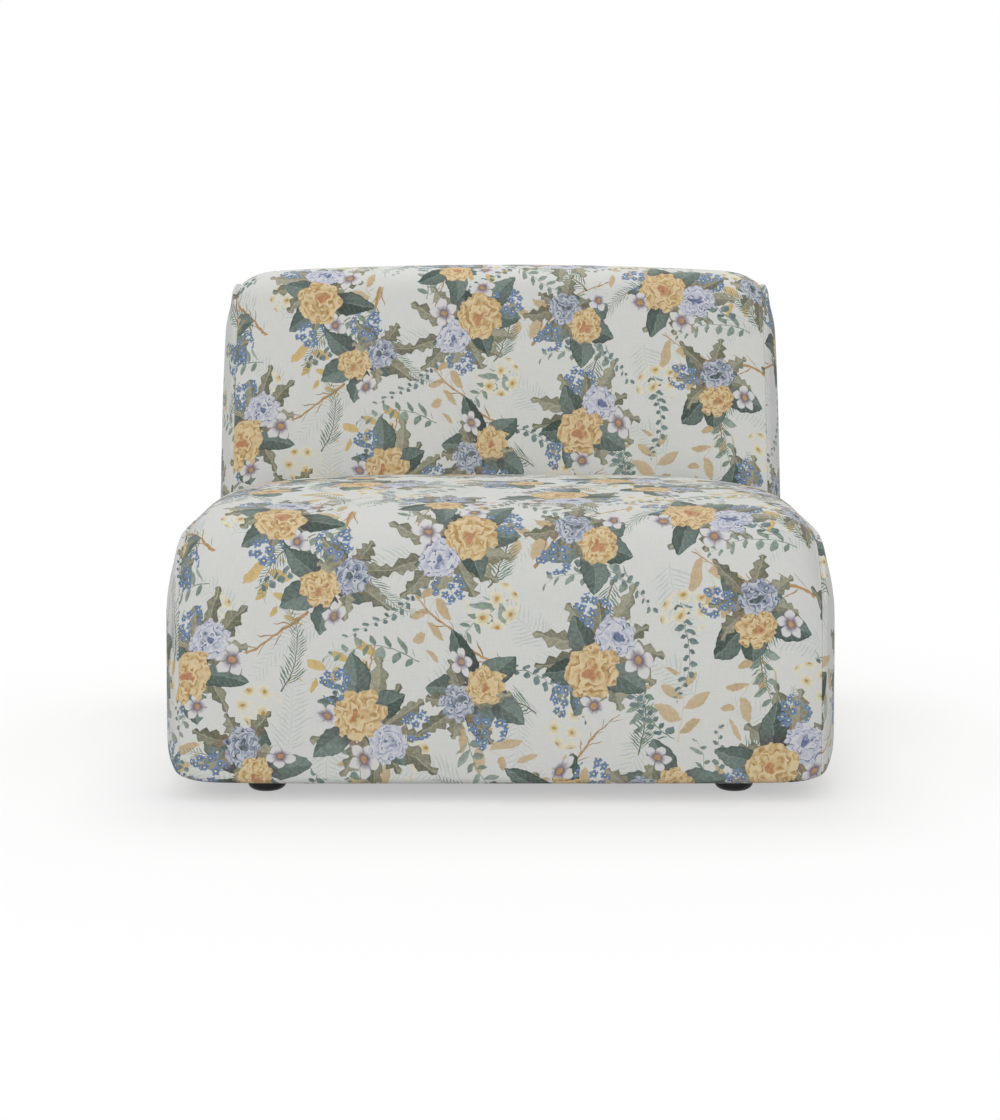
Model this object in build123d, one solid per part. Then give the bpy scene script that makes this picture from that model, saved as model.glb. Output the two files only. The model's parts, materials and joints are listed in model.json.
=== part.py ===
from build123d import *
import math
import os

os.makedirs("parts", exist_ok=True)

# One armless unit of a modular sofa, in millimetres and degrees.
# X runs across the sofa, Y from its front to its back and Z up from the floor.
# The origin is on the floor, in the middle of the sofa's plan.

# Whole sofa
overall_width = 976.0
overall_depth = 960.0
overall_height = 763.0
floor_gap = 30.0
overrun = 2.0

# Seat base: a wrapped panel from front to rear, crowned across, with a padded panel on each side
seat_height = 420.0
seat_crown = 10.0
seat_side_drop = 36.0
seat_front_draw = 15.0
seat_front_radius = 112.0
seat_front_tuck = 10.0
seat_rear_radius = 22.0
bottom_radius = 16.0
base_side_swell = 28.0
base_side_dome = 112.0
deck_wall = 42.0
deck_edge_radius = 12.0
wrap_thickness = 15.0

# Backrest: a block that stands on the rear of the base, with a leaning face and an upright rear.
# Its depth is measured at seat height.
back_depth = 300.0
back_lean = 12.0
back_crown = 7.0
back_side_drop = 36.0
back_face_swell = 10.0
back_face_draw = 16.0
back_front_radius = 64.0
back_rear_radius = 70.0
back_side_swell = 32.0
back_side_dome = 90.0
rear_draw = 10.0

# Stations across a wrapped panel, as shares of its half width, and how its fall builds up towards the seam
station_shares = (0.0, 0.5, 0.78, 0.92, 1.0)
base_early_fall_share = 0.25
base_early_fall_power = 4
base_late_fall_power = 22
back_early_fall_share = 0.38
back_early_fall_power = 2
back_late_fall_power = 24
# A side panel's rise and the inset of its outline, as shares of its swell and dome
rise_shares = (0.0, 0.32, 0.58, 0.84, 1.0)
dome_shares = (0.0, 0.14, 0.36, 0.66, 1.0)
base_bottom_dome_share = 0.38
back_bottom_dome_share = 0.1
corner_tightening_share = 0.85
face_draw_low_share = 0.3

# Timber of the base frame
frame_lift = 4.0
front_padding = 42.0
rear_padding = 26.0
rail_thickness = 25.0
rail_height = 90.0
spring_rail_width = 45.0
stretcher_width = 40.0
stretcher_height = 50.0
block_length = 140.0
block_width = 90.0
block_height = 70.0
board_thickness = 18.0

# Springs, felt pad and dust cloth
spring_count = 5
spring_inset = 140.0
spring_loop_width = 46.0
spring_loop_pitch = 25.0
spring_bend_radius = 11.0
spring_bend_share = 0.9
spring_wire_radius = 1.75
clip_width = 18.0
clip_depth = 14.0
clip_wall = 1.25
pad_thickness = 4.0
dust_thickness = 1.0

# Feet
foot_radius = 28.0
foot_waist_radius = 26.0
foot_edge = 4.0
foot_inset_x = 149.0
foot_inset_y = 100.0
foot_screw_seat = 14.0
foot_screw_well_radius = 7.5
foot_screw_radius = 3.0
foot_screw_head_radius = 6.0
foot_screw_head = 4.0
foot_screw_length = 64.0

# Frame screws and plate screws
screw_radius = 2.5
screw_length = 60.0
screw_head_radius = 5.0
screw_head = 3.0
screw_row_low = 26.0
screw_row_high = 66.0
board_screw_radius = 2.0
board_screw_length = 40.0
board_screw_head_radius = 4.0
board_screw_head = 2.4
board_screw_row = 50.0
plate_screw_radius = 1.9
plate_screw_length = 20.0
plate_screw_head_radius = 3.8
plate_screw_head = 2.0

# Unit connectors under the side rails
link_front_y = -230.0
link_rear_y = 20.0
joint_squeeze = 29.0
link_width = 24.0
link_thickness = 4.0
link_play = 0.5
plate_length = 96.0
plate_width = 24.0
plate_thickness = 3.0
plate_corner = 5.0
plate_screw_spread = 38.0
pivot_radius = 4.0
pivot_head_radius = 8.0
pivot_head = 2.5
pivot_clearance = 0.06
catch_pin_radius = 4.0
catch_pin_reach = 16.0
catch_pin_chamfer = 1.0
catch_pin_tail_radius = 3.0
hook_clearance = 0.25

# Backrest frame
gable_front_inset = 62.0
gable_rear_inset = 30.0
gable_top_inset = 80.0
gable_corner_cut = 46.0
back_rail_height = 60.0
back_rail_thickness = 25.0
back_rear_board = 4.0
web_width = 60.0
web_thickness = 2.5
web_gap = 22.0

# Bolts between the backrest and the deck
bolt_radius = 4.0
bolt_clearance = 0.5
bolt_head_radius = 9.0
bolt_head = 4.5
bolt_inset_x = 155.0
bolt_row_inset = 40.0
bolt_tail = 6.0
washer_radius = 12.0
washer_thickness = 2.0
nut_across = 13.0
nut_height = 6.5
hex_sides = 6

# Clearance between soft pieces that face each other on a curve
soft_gap = 0.3

# Levels and places worked out from the sizes above
half_seam = overall_width / 2 - base_side_swell
half_back_seam = overall_width / 2 - back_side_swell
front_y = -overall_depth / 2
rear_y = overall_depth / 2
deck_height = seat_height - seat_side_drop - seat_crown - seat_rear_radius - deck_wall
lean_run = math.tan(math.radians(back_lean))
frame_bottom = floor_gap + frame_lift
rail_top = frame_bottom + rail_height
frame_half = half_seam - soft_gap
frame_front = front_y + front_padding
frame_rear = rear_y - rear_padding
plate_bottom = frame_bottom - dust_thickness - plate_thickness
clip_height = 2 * spring_wire_radius + 2 * clip_wall
wire_level = rail_top + clip_wall + spring_wire_radius
pad_bottom = rail_top + clip_height
pad_top = pad_bottom + pad_thickness
deck_board_top = deck_height - wrap_thickness - soft_gap
deck_board_bottom = deck_board_top - board_thickness
rail_centre_x = frame_half - rail_thickness / 2
link_length = overall_width - 2 * rail_centre_x - joint_squeeze
back_base = deck_height + soft_gap


def face_y(z):
    """Where the backrest's leaning face is at height z."""
    return rear_y - back_depth + (z - seat_height) * lean_run


deck_front = face_y(deck_height)
deck_rear = rear_y - rear_draw - wrap_thickness - deck_edge_radius - soft_gap
spring_rail_front = deck_front + board_thickness - spring_rail_width
gable_bottom = back_base + board_thickness
gable_top = overall_height - gable_top_inset
gable_half = half_back_seam - soft_gap
gable_rear = rear_y - gable_rear_inset


def block(low, high):
    """A square-edged piece between two corners."""
    size = [b - a for a, b in zip(low, high)]
    middle = [(a + b) / 2 for a, b in zip(low, high)]
    return Pos(*middle) * Box(*size)


def group(pieces):
    """Loose pieces of one kind, kept as separate solids."""
    return Compound(children=list(pieces))


def mirrored(piece):
    return piece.mirror(Plane.YZ)


def around(centre, radius, angle):
    """The point of a circle in the side view, at an angle from +Y towards +Z."""
    turn = math.radians(angle)
    return (centre[0] + radius * math.cos(turn), centre[1] + radius * math.sin(turn))


def arc(centre, radius, first, last):
    """A step of an outline along a circle: its middle point and its end."""
    return (around(centre, radius, (first + last) / 2), around(centre, radius, last))


def outline(x, start, steps):
    """A closed wire at x, from (y, z) points: a step is (end,) for a line or (through, end) for an arc."""
    here = start
    edges = []
    for *through, end in steps:
        if through:
            points = [Vector(x, *p) for p in (here, through[0], end)]
            edges.append(Edge.make_three_point_arc(*points))
        else:
            edges.append(Edge.make_line(Vector(x, *here), Vector(x, *end)))
        here = end
    edges.append(Edge.make_line(Vector(x, *here), Vector(x, *start)))
    return Wire(edges)


def base_fall(share):
    """How much of its fall to the seam the base's wrapped panel has at a share of its half width."""
    early = base_early_fall_share * share**base_early_fall_power
    return early + (1 - base_early_fall_share) * share**base_late_fall_power


def back_fall(share):
    """The same for the backrest's wrapped panel."""
    early = back_early_fall_share * share**back_early_fall_power
    return early + (1 - back_early_fall_share) * share**back_late_fall_power


def crown_angle(crown, span):
    """The slope in degrees at the ends of a shallow arc."""
    return math.degrees(2 * math.atan(2 * crown / span))


def base_outline(x, fall, inset, bottom_inset):
    """The seat base seen from its side, drawn in by inset, its top fallen by a share of the side drop."""
    front = front_y + seat_front_draw * fall + inset
    rear = rear_y - rear_draw * fall - inset
    top = seat_height - seat_side_drop * fall - inset
    deck = deck_height - inset
    low = floor_gap + bottom_inset
    tightening = 1 - corner_tightening_share * inset / base_side_dome
    front_radius = seat_front_radius * tightening
    rear_radius = seat_rear_radius * tightening
    edge_radius = deck_edge_radius * tightening
    crest_span = face_y(seat_height) - front_y - front_radius - rear_radius
    slope = crown_angle(seat_crown, crest_span)
    rise = math.cos(math.radians(slope))

    toe = (front + seat_front_tuck + bottom_radius, low + bottom_radius)
    shoulder_z = top - seat_crown - front_radius * rise
    face_height = shoulder_z - toe[1]
    bow = (seat_front_tuck**2 + face_height**2) / (2 * seat_front_tuck)
    bow_turn = math.degrees(math.asin(face_height / bow))
    bow_centre = (front + bow, shoulder_z)
    shoulder = (front + front_radius, shoulder_z)

    heel_z = top - seat_crown - rear_radius * rise
    wall_z = heel_z - rear_radius * math.sin(math.radians(back_lean))
    wall_y = face_y(wall_z) - soft_gap - inset
    heel = (wall_y - rear_radius * math.cos(math.radians(back_lean)), heel_z)
    crest_front = around(shoulder, front_radius, 90 + slope)
    crest_rear = around(heel, rear_radius, 90 - slope)
    crest = ((crest_front[0] + crest_rear[0]) / 2, top)
    wall_foot = (face_y(deck) - soft_gap - inset, deck)
    deck_end = (rear - edge_radius, deck - edge_radius)
    rear_heel = (rear - bottom_radius, low + bottom_radius)

    start = around(toe, bottom_radius, 270)
    steps = [
        arc(toe, bottom_radius, 270, 180),
        (around(bow_centre, bow, 180 + bow_turn / 2), (front, shoulder_z)),
        arc(shoulder, front_radius, 180, 90 + slope),
        (crest, crest_rear),
        arc(heel, rear_radius, 90 - slope, -back_lean),
        (wall_foot,),
        (around(deck_end, edge_radius, 90),),
        arc(deck_end, edge_radius, 90, 0),
        ((rear, rear_heel[1]),),
        arc(rear_heel, bottom_radius, 0, -90),
    ]
    return outline(x, start, steps)


def back_outline(x, fall, inset, bottom_inset):
    """The backrest seen from its side, drawn in by inset, with its top fallen by a share of the side drop."""
    draw = back_face_draw * fall
    rear = rear_y - rear_draw * fall - inset
    top = overall_height - back_side_drop * fall - inset
    low = back_base + bottom_inset
    tightening = 1 - corner_tightening_share * inset / back_side_dome
    front_radius = back_front_radius * tightening
    rear_radius = back_rear_radius * tightening
    crest_span = rear_y - face_y(overall_height) - front_radius - rear_radius
    slope = crown_angle(back_crown, crest_span)
    rise = math.cos(math.radians(slope))

    hem_z = max(seat_height - seat_side_drop * fall, low + bottom_radius)
    face_length = top - hem_z - front_radius
    lean = back_lean + math.degrees(2 * math.atan(2 * back_face_swell / face_length))
    brow_z = top - back_crown - front_radius * rise
    face_end_z = brow_z + front_radius * math.sin(math.radians(lean))
    face_end_y = face_y(face_end_z) + draw + inset
    brow = (face_end_y + front_radius * math.cos(math.radians(lean)), brow_z)
    hem = (face_y(hem_z) + draw * face_draw_low_share + inset, hem_z)
    middle = (
        (hem[0] + face_end_y) / 2 - back_face_swell * math.cos(math.radians(back_lean)),
        (hem_z + face_end_z) / 2 + back_face_swell * math.sin(math.radians(back_lean)),
    )
    nape = (rear - rear_radius, top - back_crown - rear_radius * rise)
    crest_front = around(brow, front_radius, 90 + slope)
    crest_rear = around(nape, rear_radius, 90 - slope)
    crest = ((crest_front[0] + crest_rear[0]) / 2, top)

    start = (face_y(low) + inset, low)
    steps = [
        (hem,),
        (middle, (face_end_y, face_end_z)),
        arc(brow, front_radius, 180 - lean, 90 + slope),
        (crest, crest_rear),
        arc(nape, rear_radius, 90 - slope, 0),
        ((rear, low),),
    ]
    return outline(x, start, steps)


def wrapped(profile, half, fall, inset, bottom_inset):
    """A wrapped panel's form from seam to seam, lofted through its stations."""
    shares = [-s for s in reversed(station_shares[1:])] + list(station_shares)
    wires = [profile(half * s, fall(abs(s)), inset, bottom_inset) for s in shares]
    return Solid.make_loft(wires)


def side_panel(profile, half, swell, dome, bottom_share):
    """A padded side panel on the +X side: its outline draws in as it rises from the seam."""
    wires = []
    for rise, draw in zip(rise_shares, dome_shares):
        inset = dome * draw
        x = half + soft_gap + (swell - soft_gap) * rise
        wires.append(profile(x, 1, inset, inset * bottom_share))
    return Solid.make_loft(wires)


def wood_screw(radius, length, head_radius, head):
    """A countersunk screw along +Z, with the top of its head at the origin."""
    cone = Pos(0, 0, head / 2) * Cone(head_radius, radius, head)
    shank = Pos(0, 0, (head + length) / 2) * Cylinder(radius, length - head)
    return cone + shank


def frame_screw():
    return wood_screw(screw_radius, screw_length, screw_head_radius, screw_head)


def board_screw():
    return wood_screw(board_screw_radius, board_screw_length, board_screw_head_radius, board_screw_head)


def place(piece, point, axis):
    """Puts a piece made along +Z at a point, along another axis."""
    return Plane(origin=point, z_dir=axis) * piece


def rows(*values):
    """A value list and its mirror images about zero."""
    return [sign * v for v in values for sign in (-1, 1)]


# Fasteners first, because the timber is drilled by them

frame_screw_rows = [frame_bottom + screw_row_low, frame_bottom + screw_row_high]
block_x = frame_half - rail_thickness - block_length / 2
block_front_y = frame_front + rail_thickness + block_width / 2
block_rear_y = frame_rear - rail_thickness - block_width / 2
block_middle_z = frame_bottom + block_height / 2
spring_rail_y = spring_rail_front + spring_rail_width / 2
stretcher_screw_z = frame_bottom + stretcher_height / 2

into_front = []
for x in rows(rail_centre_x):
    into_front += [(x, frame_front, z) for z in frame_screw_rows]
into_front += [(x, frame_front, block_middle_z) for x in rows(block_x)]
into_front.append((0, frame_front, stretcher_screw_z))
into_rear = [(x, frame_rear, z) for x, _, z in into_front[:-1]]

frame_screws = [place(frame_screw(), p, (0, 1, 0)) for p in into_front]
frame_screws += [place(frame_screw(), p, (0, -1, 0)) for p in into_rear]
stretcher_rear = (0, spring_rail_front + spring_rail_width, stretcher_screw_z)
frame_screws.append(place(frame_screw(), stretcher_rear, (0, -1, 0)))
for side in (-1, 1):
    spots = [(side * frame_half, spring_rail_y, z) for z in frame_screw_rows]
    spots += [(side * frame_half, y, block_middle_z) for y in (block_front_y, block_rear_y)]
    frame_screws += [place(frame_screw(), p, (-side, 0, 0)) for p in spots]

deck_side_x = frame_half - board_thickness / 2
deck_screws = []
for x in rows(deck_side_x):
    for y in (deck_front + board_screw_row, deck_rear - board_screw_row):
        deck_screws.append(place(board_screw(), (x, y, deck_board_top), (0, 0, -1)))
for x in rows(deck_side_x / 2):
    for y in (deck_front + board_thickness / 2, deck_rear - board_thickness / 2):
        deck_screws.append(place(board_screw(), (x, y, deck_board_top), (0, 0, -1)))

gable_centre_x = gable_half - board_thickness / 2
back_rail_front = face_y(gable_top) + gable_front_inset
back_rail_middle_y = back_rail_front + back_rail_thickness / 2
mid_rail_top = (gable_bottom + gable_top + back_rail_height) / 2
back_screws = []
for side in (-1, 1):
    for y in (face_y(gable_bottom) + gable_front_inset + board_screw_row, gable_rear - board_screw_row):
        spot = (side * gable_centre_x, y, back_base)
        back_screws.append(place(board_screw(), spot, (0, 0, 1)))
    for top in (gable_top, mid_rail_top):
        for z in (top - back_rail_height / 4, top - back_rail_height * 3 / 4):
            spot = (side * gable_half, back_rail_middle_y, z)
            back_screws.append(place(board_screw(), spot, (-side, 0, 0)))

bolt_length = gable_bottom - deck_board_bottom + washer_thickness + nut_height + bolt_tail
bolt_y = (face_y(gable_bottom) + gable_front_inset + bolt_row_inset, gable_rear - bolt_row_inset)
bolt_spots = [(x, y) for x in rows(gable_half - bolt_inset_x) for y in bolt_y]


def back_bolt(x, y):
    head = Pos(x, y, gable_bottom + bolt_head / 2) * Cylinder(bolt_head_radius, bolt_head)
    shank = Pos(x, y, gable_bottom - bolt_length / 2) * Cylinder(bolt_radius, bolt_length)
    return head + shank


def bolt_washer(x, y):
    disc = Cylinder(washer_radius, washer_thickness) - Cylinder(bolt_radius, washer_thickness)
    return Pos(x, y, deck_board_bottom - washer_thickness / 2) * disc


def bolt_nut(x, y):
    nut = extrude(RegularPolygon(nut_across / 2, hex_sides, major_radius=False), nut_height)
    nut -= Pos(0, 0, nut_height / 2) * Cylinder(bolt_radius, nut_height)
    return Pos(x, y, deck_board_bottom - washer_thickness - nut_height) * nut


bolt_bore_height = deck_board_bottom + gable_bottom
bolt_holes = [
    Pos(x, y, bolt_bore_height / 2) * Cylinder(bolt_radius + bolt_clearance, bolt_bore_height)
    for x, y in bolt_spots
]

link_x = -rail_centre_x
link_rows = {"front": link_front_y, "rear": link_rear_y}
plate_screws = []
for side in (-1, 1):
    for y in link_rows.values():
        for step in (-plate_screw_spread, plate_screw_spread):
            screw = wood_screw(
                plate_screw_radius, plate_screw_length, plate_screw_head_radius, plate_screw_head
            )
            plate_screws.append(place(screw, (side * rail_centre_x, y + step, plate_bottom), (0, 0, 1)))

foot_x = overall_width / 2 - foot_inset_x
foot_spots = {
    "front_left": (-foot_x, front_y + foot_inset_y),
    "front_right": (foot_x, front_y + foot_inset_y),
    "rear_left": (-foot_x, rear_y - foot_inset_y),
    "rear_right": (foot_x, rear_y - foot_inset_y),
}
foot_height = frame_bottom - dust_thickness


def foot_screw(x, y):
    head = Pos(x, y, foot_screw_seat - foot_screw_head / 2)
    head *= Cylinder(foot_screw_head_radius, foot_screw_head)
    shank = Pos(x, y, foot_screw_seat + foot_screw_length / 2)
    shank *= Cylinder(foot_screw_radius, foot_screw_length)
    return head + shank


foot_screws = [foot_screw(x, y) for x, y in foot_spots.values()]

# Base frame

parts = {}
drills = frame_screws + plate_screws + foot_screws
parts["base_front_rail"] = block(
    (-frame_half, frame_front, frame_bottom),
    (frame_half, frame_front + rail_thickness, rail_top),
) - drills
parts["base_rear_rail"] = block(
    (-frame_half, frame_rear - rail_thickness, frame_bottom),
    (frame_half, frame_rear, rail_top),
) - drills
right_rail = block(
    (frame_half - rail_thickness, frame_front + rail_thickness, frame_bottom),
    (frame_half, frame_rear - rail_thickness, rail_top),
)
parts["base_right_rail"] = right_rail - drills
parts["base_left_rail"] = mirrored(right_rail) - drills
parts["base_spring_rail"] = block(
    (-frame_half + rail_thickness, spring_rail_front, frame_bottom),
    (frame_half - rail_thickness, spring_rail_front + spring_rail_width, rail_top),
) - drills
parts["base_center_stretcher"] = block(
    (-stretcher_width / 2, frame_front + rail_thickness, frame_bottom),
    (stretcher_width / 2, spring_rail_front, frame_bottom + stretcher_height),
) - drills
for name, (x, y) in foot_spots.items():
    centre_x = math.copysign(block_x, x)
    centre_y = block_front_y if y < 0 else block_rear_y
    parts[f"corner_block_{name}"] = block(
        (centre_x - block_length / 2, centre_y - block_width / 2, frame_bottom),
        (centre_x + block_length / 2, centre_y + block_width / 2, frame_bottom + block_height),
    ) - drills
parts["frame_screws"] = group(frame_screws)

# Deck box under the backrest

deck_side = block(
    (frame_half - board_thickness, deck_front + board_thickness, rail_top),
    (frame_half, deck_rear - board_thickness, deck_board_bottom),
)
parts["deck_side_right"] = deck_side - deck_screws
parts["deck_side_left"] = mirrored(deck_side) - deck_screws
parts["deck_front_board"] = block(
    (-frame_half, deck_front, rail_top),
    (frame_half, deck_front + board_thickness, deck_board_bottom),
) - deck_screws
parts["deck_rear_board"] = block(
    (-frame_half, deck_rear - board_thickness, rail_top),
    (frame_half, deck_rear, deck_board_bottom),
) - deck_screws
parts["deck_top_board"] = block(
    (-frame_half, deck_front, deck_board_bottom),
    (frame_half, deck_rear, deck_board_top),
) - deck_screws - bolt_holes
parts["deck_screws"] = group(deck_screws)

# Springs, clips, felt pad and dust cloth


def zigzag_spring():
    """A flat zigzag wire from the front rail to the spring rail, centred on X."""
    first = frame_front + rail_thickness / 2
    last = spring_rail_front + clip_depth / 2
    bars = 2 * int((last - first) / spring_loop_pitch / 2) + 1
    pitch = (last - first) / bars
    corners = []
    for bar in range(bars + 1):
        side = 1 if bar % 2 else -1
        y = first + pitch * bar
        corners += [(-side * spring_loop_width / 2, y), (side * spring_loop_width / 2, y)]
    radius = min(spring_bend_radius, pitch / 2 * spring_bend_share)
    path = FilletPolyline([(x, y, wire_level) for x, y in corners], radius=radius)
    section = Plane(origin=path @ 0, z_dir=path % 0) * Circle(spring_wire_radius)
    return sweep(section, path=path), (first, last)


spring, spring_ends = zigzag_spring()
spring_pitch = 2 * (frame_half - spring_inset) / (spring_count - 1)
spring_x = [-frame_half + spring_inset + i * spring_pitch for i in range(spring_count)]
clips = []
for number, x in enumerate(spring_x, 1):
    parts[f"seat_spring_{number}"] = Pos(x, 0, 0) * spring
    for y in spring_ends:
        clip = block(
            (x - clip_width / 2, y - clip_depth / 2, rail_top),
            (x + clip_width / 2, y + clip_depth / 2, pad_bottom),
        )
        wire = Pos(x, y, wire_level) * Rot(0, 90, 0) * Cylinder(spring_wire_radius, clip_width)
        clips.append(clip - wire)
parts["spring_clips"] = group(clips)
parts["spring_pad"] = block(
    (-frame_half, frame_front, pad_bottom), (frame_half, deck_front, pad_top)
)
parts["dust_cloth"] = block(
    (-frame_half, frame_front, frame_bottom - dust_thickness),
    (frame_half, frame_rear, frame_bottom),
) - foot_screws - plate_screws

# Base upholstery

base_outer = wrapped(base_outline, half_seam, base_fall, 0, 0)
base_inner = wrapped(
    base_outline,
    half_seam + overrun / 2,
    base_fall,
    wrap_thickness,
    -bottom_radius - overrun,
)
parts["base_wrap_cover"] = base_outer - base_inner - bolt_holes
base_core = wrapped(
    base_outline,
    half_seam + overrun / 2,
    base_fall,
    wrap_thickness + soft_gap,
    -bottom_radius - overrun,
)
foam_room = block(
    (-half_seam, front_y, pad_top + soft_gap), (half_seam, deck_front - soft_gap, seat_height)
)
parts["seat_foam"] = base_core & foam_room
base_side = side_panel(
    base_outline, half_seam, base_side_swell, base_side_dome, base_bottom_dome_share
)
parts["base_side_panel_right"] = base_side
parts["base_side_panel_left"] = mirrored(base_side)

# Backrest frame


def leaning_slab(front_inset, rear_corners, low, high, x_low, x_high):
    """A slab between two X values, from an edge that leans as the backrest does to its rear corners."""
    corners = [(face_y(low) + front_inset, low), (face_y(high) + front_inset, high)]
    corners += rear_corners
    edges = [
        Edge.make_line(Vector(x_low, *a), Vector(x_low, *b))
        for a, b in zip(corners, corners[1:] + corners[:1])
    ]
    return Solid.extrude(Face(Wire(edges)), Vector(x_high - x_low, 0, 0))


gable_rear_corners = [
    (gable_rear - gable_corner_cut, gable_top),
    (gable_rear, gable_top - gable_corner_cut),
    (gable_rear, gable_bottom),
]
gable = leaning_slab(
    gable_front_inset,
    gable_rear_corners,
    gable_bottom,
    gable_top,
    gable_half - board_thickness,
    gable_half,
)
parts["back_gable_right"] = gable - back_screws
parts["back_gable_left"] = mirrored(gable) - back_screws
parts["back_bottom_board"] = block(
    (-gable_half, face_y(gable_bottom) + gable_front_inset, back_base),
    (gable_half, gable_rear, gable_bottom),
) - back_screws - bolt_holes
for name, top in (("top", gable_top), ("middle", mid_rail_top)):
    parts[f"back_{name}_rail"] = block(
        (-gable_half + board_thickness, back_rail_front, top - back_rail_height),
        (gable_half - board_thickness, back_rail_front + back_rail_thickness, top),
    ) - back_screws
parts["back_rear_board"] = block(
    (-gable_half, gable_rear, back_base),
    (gable_half, gable_rear + back_rear_board, gable_top - gable_corner_cut),
)
web_pitch = web_width + web_gap
web_count = int((gable_top - gable_bottom) / web_pitch)
web_first = (gable_bottom + gable_top - web_pitch * web_count + web_gap) / 2
webs = []
for row in range(web_count):
    low = web_first + web_pitch * row
    high = low + web_width
    web_rear = [(face_y(z) + gable_front_inset, z) for z in (high, low)]
    webs.append(
        leaning_slab(gable_front_inset - web_thickness, web_rear, low, high, -gable_half, gable_half)
    )
parts["back_webbing"] = group(webs)
parts["back_frame_screws"] = group(back_screws)
parts["back_bolts"] = group(back_bolt(x, y) for x, y in bolt_spots)
parts["back_washers"] = group(bolt_washer(x, y) for x, y in bolt_spots)
parts["back_nuts"] = group(bolt_nut(x, y) for x, y in bolt_spots)

# Backrest upholstery

back_outer = wrapped(back_outline, half_back_seam, back_fall, 0, 0)
back_inner = wrapped(
    back_outline, half_back_seam + overrun / 2, back_fall, wrap_thickness, -overrun
)
parts["back_wrap_cover"] = back_outer - back_inner
back_core = wrapped(
    back_outline, half_back_seam + overrun / 2, back_fall, wrap_thickness + soft_gap, -overrun
)
frame_space_low = back_base - overrun
frame_space_high = gable_top + soft_gap
back_frame_space = leaning_slab(
    gable_front_inset - web_thickness - soft_gap,
    [(overall_depth, frame_space_high), (overall_depth, frame_space_low)],
    frame_space_low,
    frame_space_high,
    -overall_width,
    overall_width,
)
back_room = block((-half_back_seam, front_y, back_base), (half_back_seam, rear_y, overall_height))
parts["back_foam"] = (back_core & back_room) - back_frame_space
back_side = side_panel(
    back_outline, half_back_seam, back_side_swell, back_side_dome, back_bottom_dome_share
)
parts["back_side_panel_right"] = back_side
parts["back_side_panel_left"] = mirrored(back_side)

# Feet


def foot(x, y):
    """A squat turned foot with a well in its underside for its screw."""
    side = foot_height - foot_edge
    turned = [
        (0, 0),
        (foot_waist_radius, 0),
        (foot_radius, foot_edge),
        (foot_radius, side),
        (foot_waist_radius, foot_height),
        (0, foot_height),
    ]
    body = revolve(Plane.XZ * make_face(Polyline(turned, close=True)), Axis.Z)
    body -= Pos(0, 0, foot_screw_seat / 2) * Cylinder(foot_screw_well_radius, foot_screw_seat)
    body -= Pos(0, 0, foot_height / 2) * Cylinder(foot_screw_radius, foot_height)
    return Pos(x, y, 0) * body


for name, (x, y) in foot_spots.items():
    parts[f"foot_{name}"] = foot(x, y)
parts["foot_screws"] = group(foot_screws)

# Unit connectors

link_top = plate_bottom - link_play
link_bottom = link_top - link_thickness
hook_radius = catch_pin_radius + hook_clearance


def plate(x, y):
    """A steel plate under a side rail, bored for its pivot or pin and countersunk for its screws."""
    sheet = extrude(RectangleRounded(plate_width, plate_length, plate_corner), plate_thickness)
    return Pos(x, y, plate_bottom) * sheet - plate_screws


def link_hook(y):
    """A flat link along +Y: a bore on its pivot and, at its end, a hook that opens outwards."""
    bar = Pos(0, link_length / 2) * Rot(0, 0, 90) * SlotCenterToCenter(link_length, link_width)
    bar -= Circle(pivot_radius + pivot_clearance)
    bar -= Pos(0, link_length) * Circle(hook_radius)
    mouth = link_width / 2 + overrun
    bar -= Pos(-mouth / 2, link_length) * Rectangle(mouth, 2 * hook_radius)
    return Pos(link_x, y, link_bottom) * extrude(bar, link_thickness)


def link_pivot(y):
    """A shouldered rivet, from the top of the plate to its head under the link."""
    head_top = link_bottom - link_play
    reach = plate_bottom + plate_thickness - head_top
    shank = Pos(link_x, y, head_top + reach / 2) * Cylinder(pivot_radius, reach)
    head = Pos(link_x, y, head_top - pivot_head / 2) * Cylinder(pivot_head_radius, pivot_head)
    return shank + head


def catch_pin(y):
    """A shouldered pin that stands down from its plate, with a chamfered end and a riveted tail."""
    pin = Pos(0, 0, -catch_pin_reach / 2) * Cylinder(catch_pin_radius, catch_pin_reach)
    pin = chamfer(pin.edges().sort_by(Axis.Z)[0], catch_pin_chamfer)
    tail = Pos(0, 0, plate_thickness / 2) * Cylinder(catch_pin_tail_radius, plate_thickness)
    return Pos(-link_x, y, plate_bottom) * (pin + tail)


for name, y in link_rows.items():
    parts[f"link_pivot_{name}"] = link_pivot(y)
    parts[f"link_plate_{name}"] = plate(link_x, y) - link_pivot(y)
    parts[f"link_hook_{name}"] = link_hook(y)
    parts[f"catch_pin_{name}"] = catch_pin(y)
    parts[f"catch_plate_{name}"] = plate(-link_x, y) - catch_pin(y)
parts["plate_screws"] = group(plate_screws)

for name, shape in parts.items():
    export_step(shape, f"parts/{name}.step")
print(len(parts), "sub-parts")
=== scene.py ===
import json
import math

import bmesh
import bpy
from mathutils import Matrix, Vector
from mathutils.geometry import delaunay_2d_cdt


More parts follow.
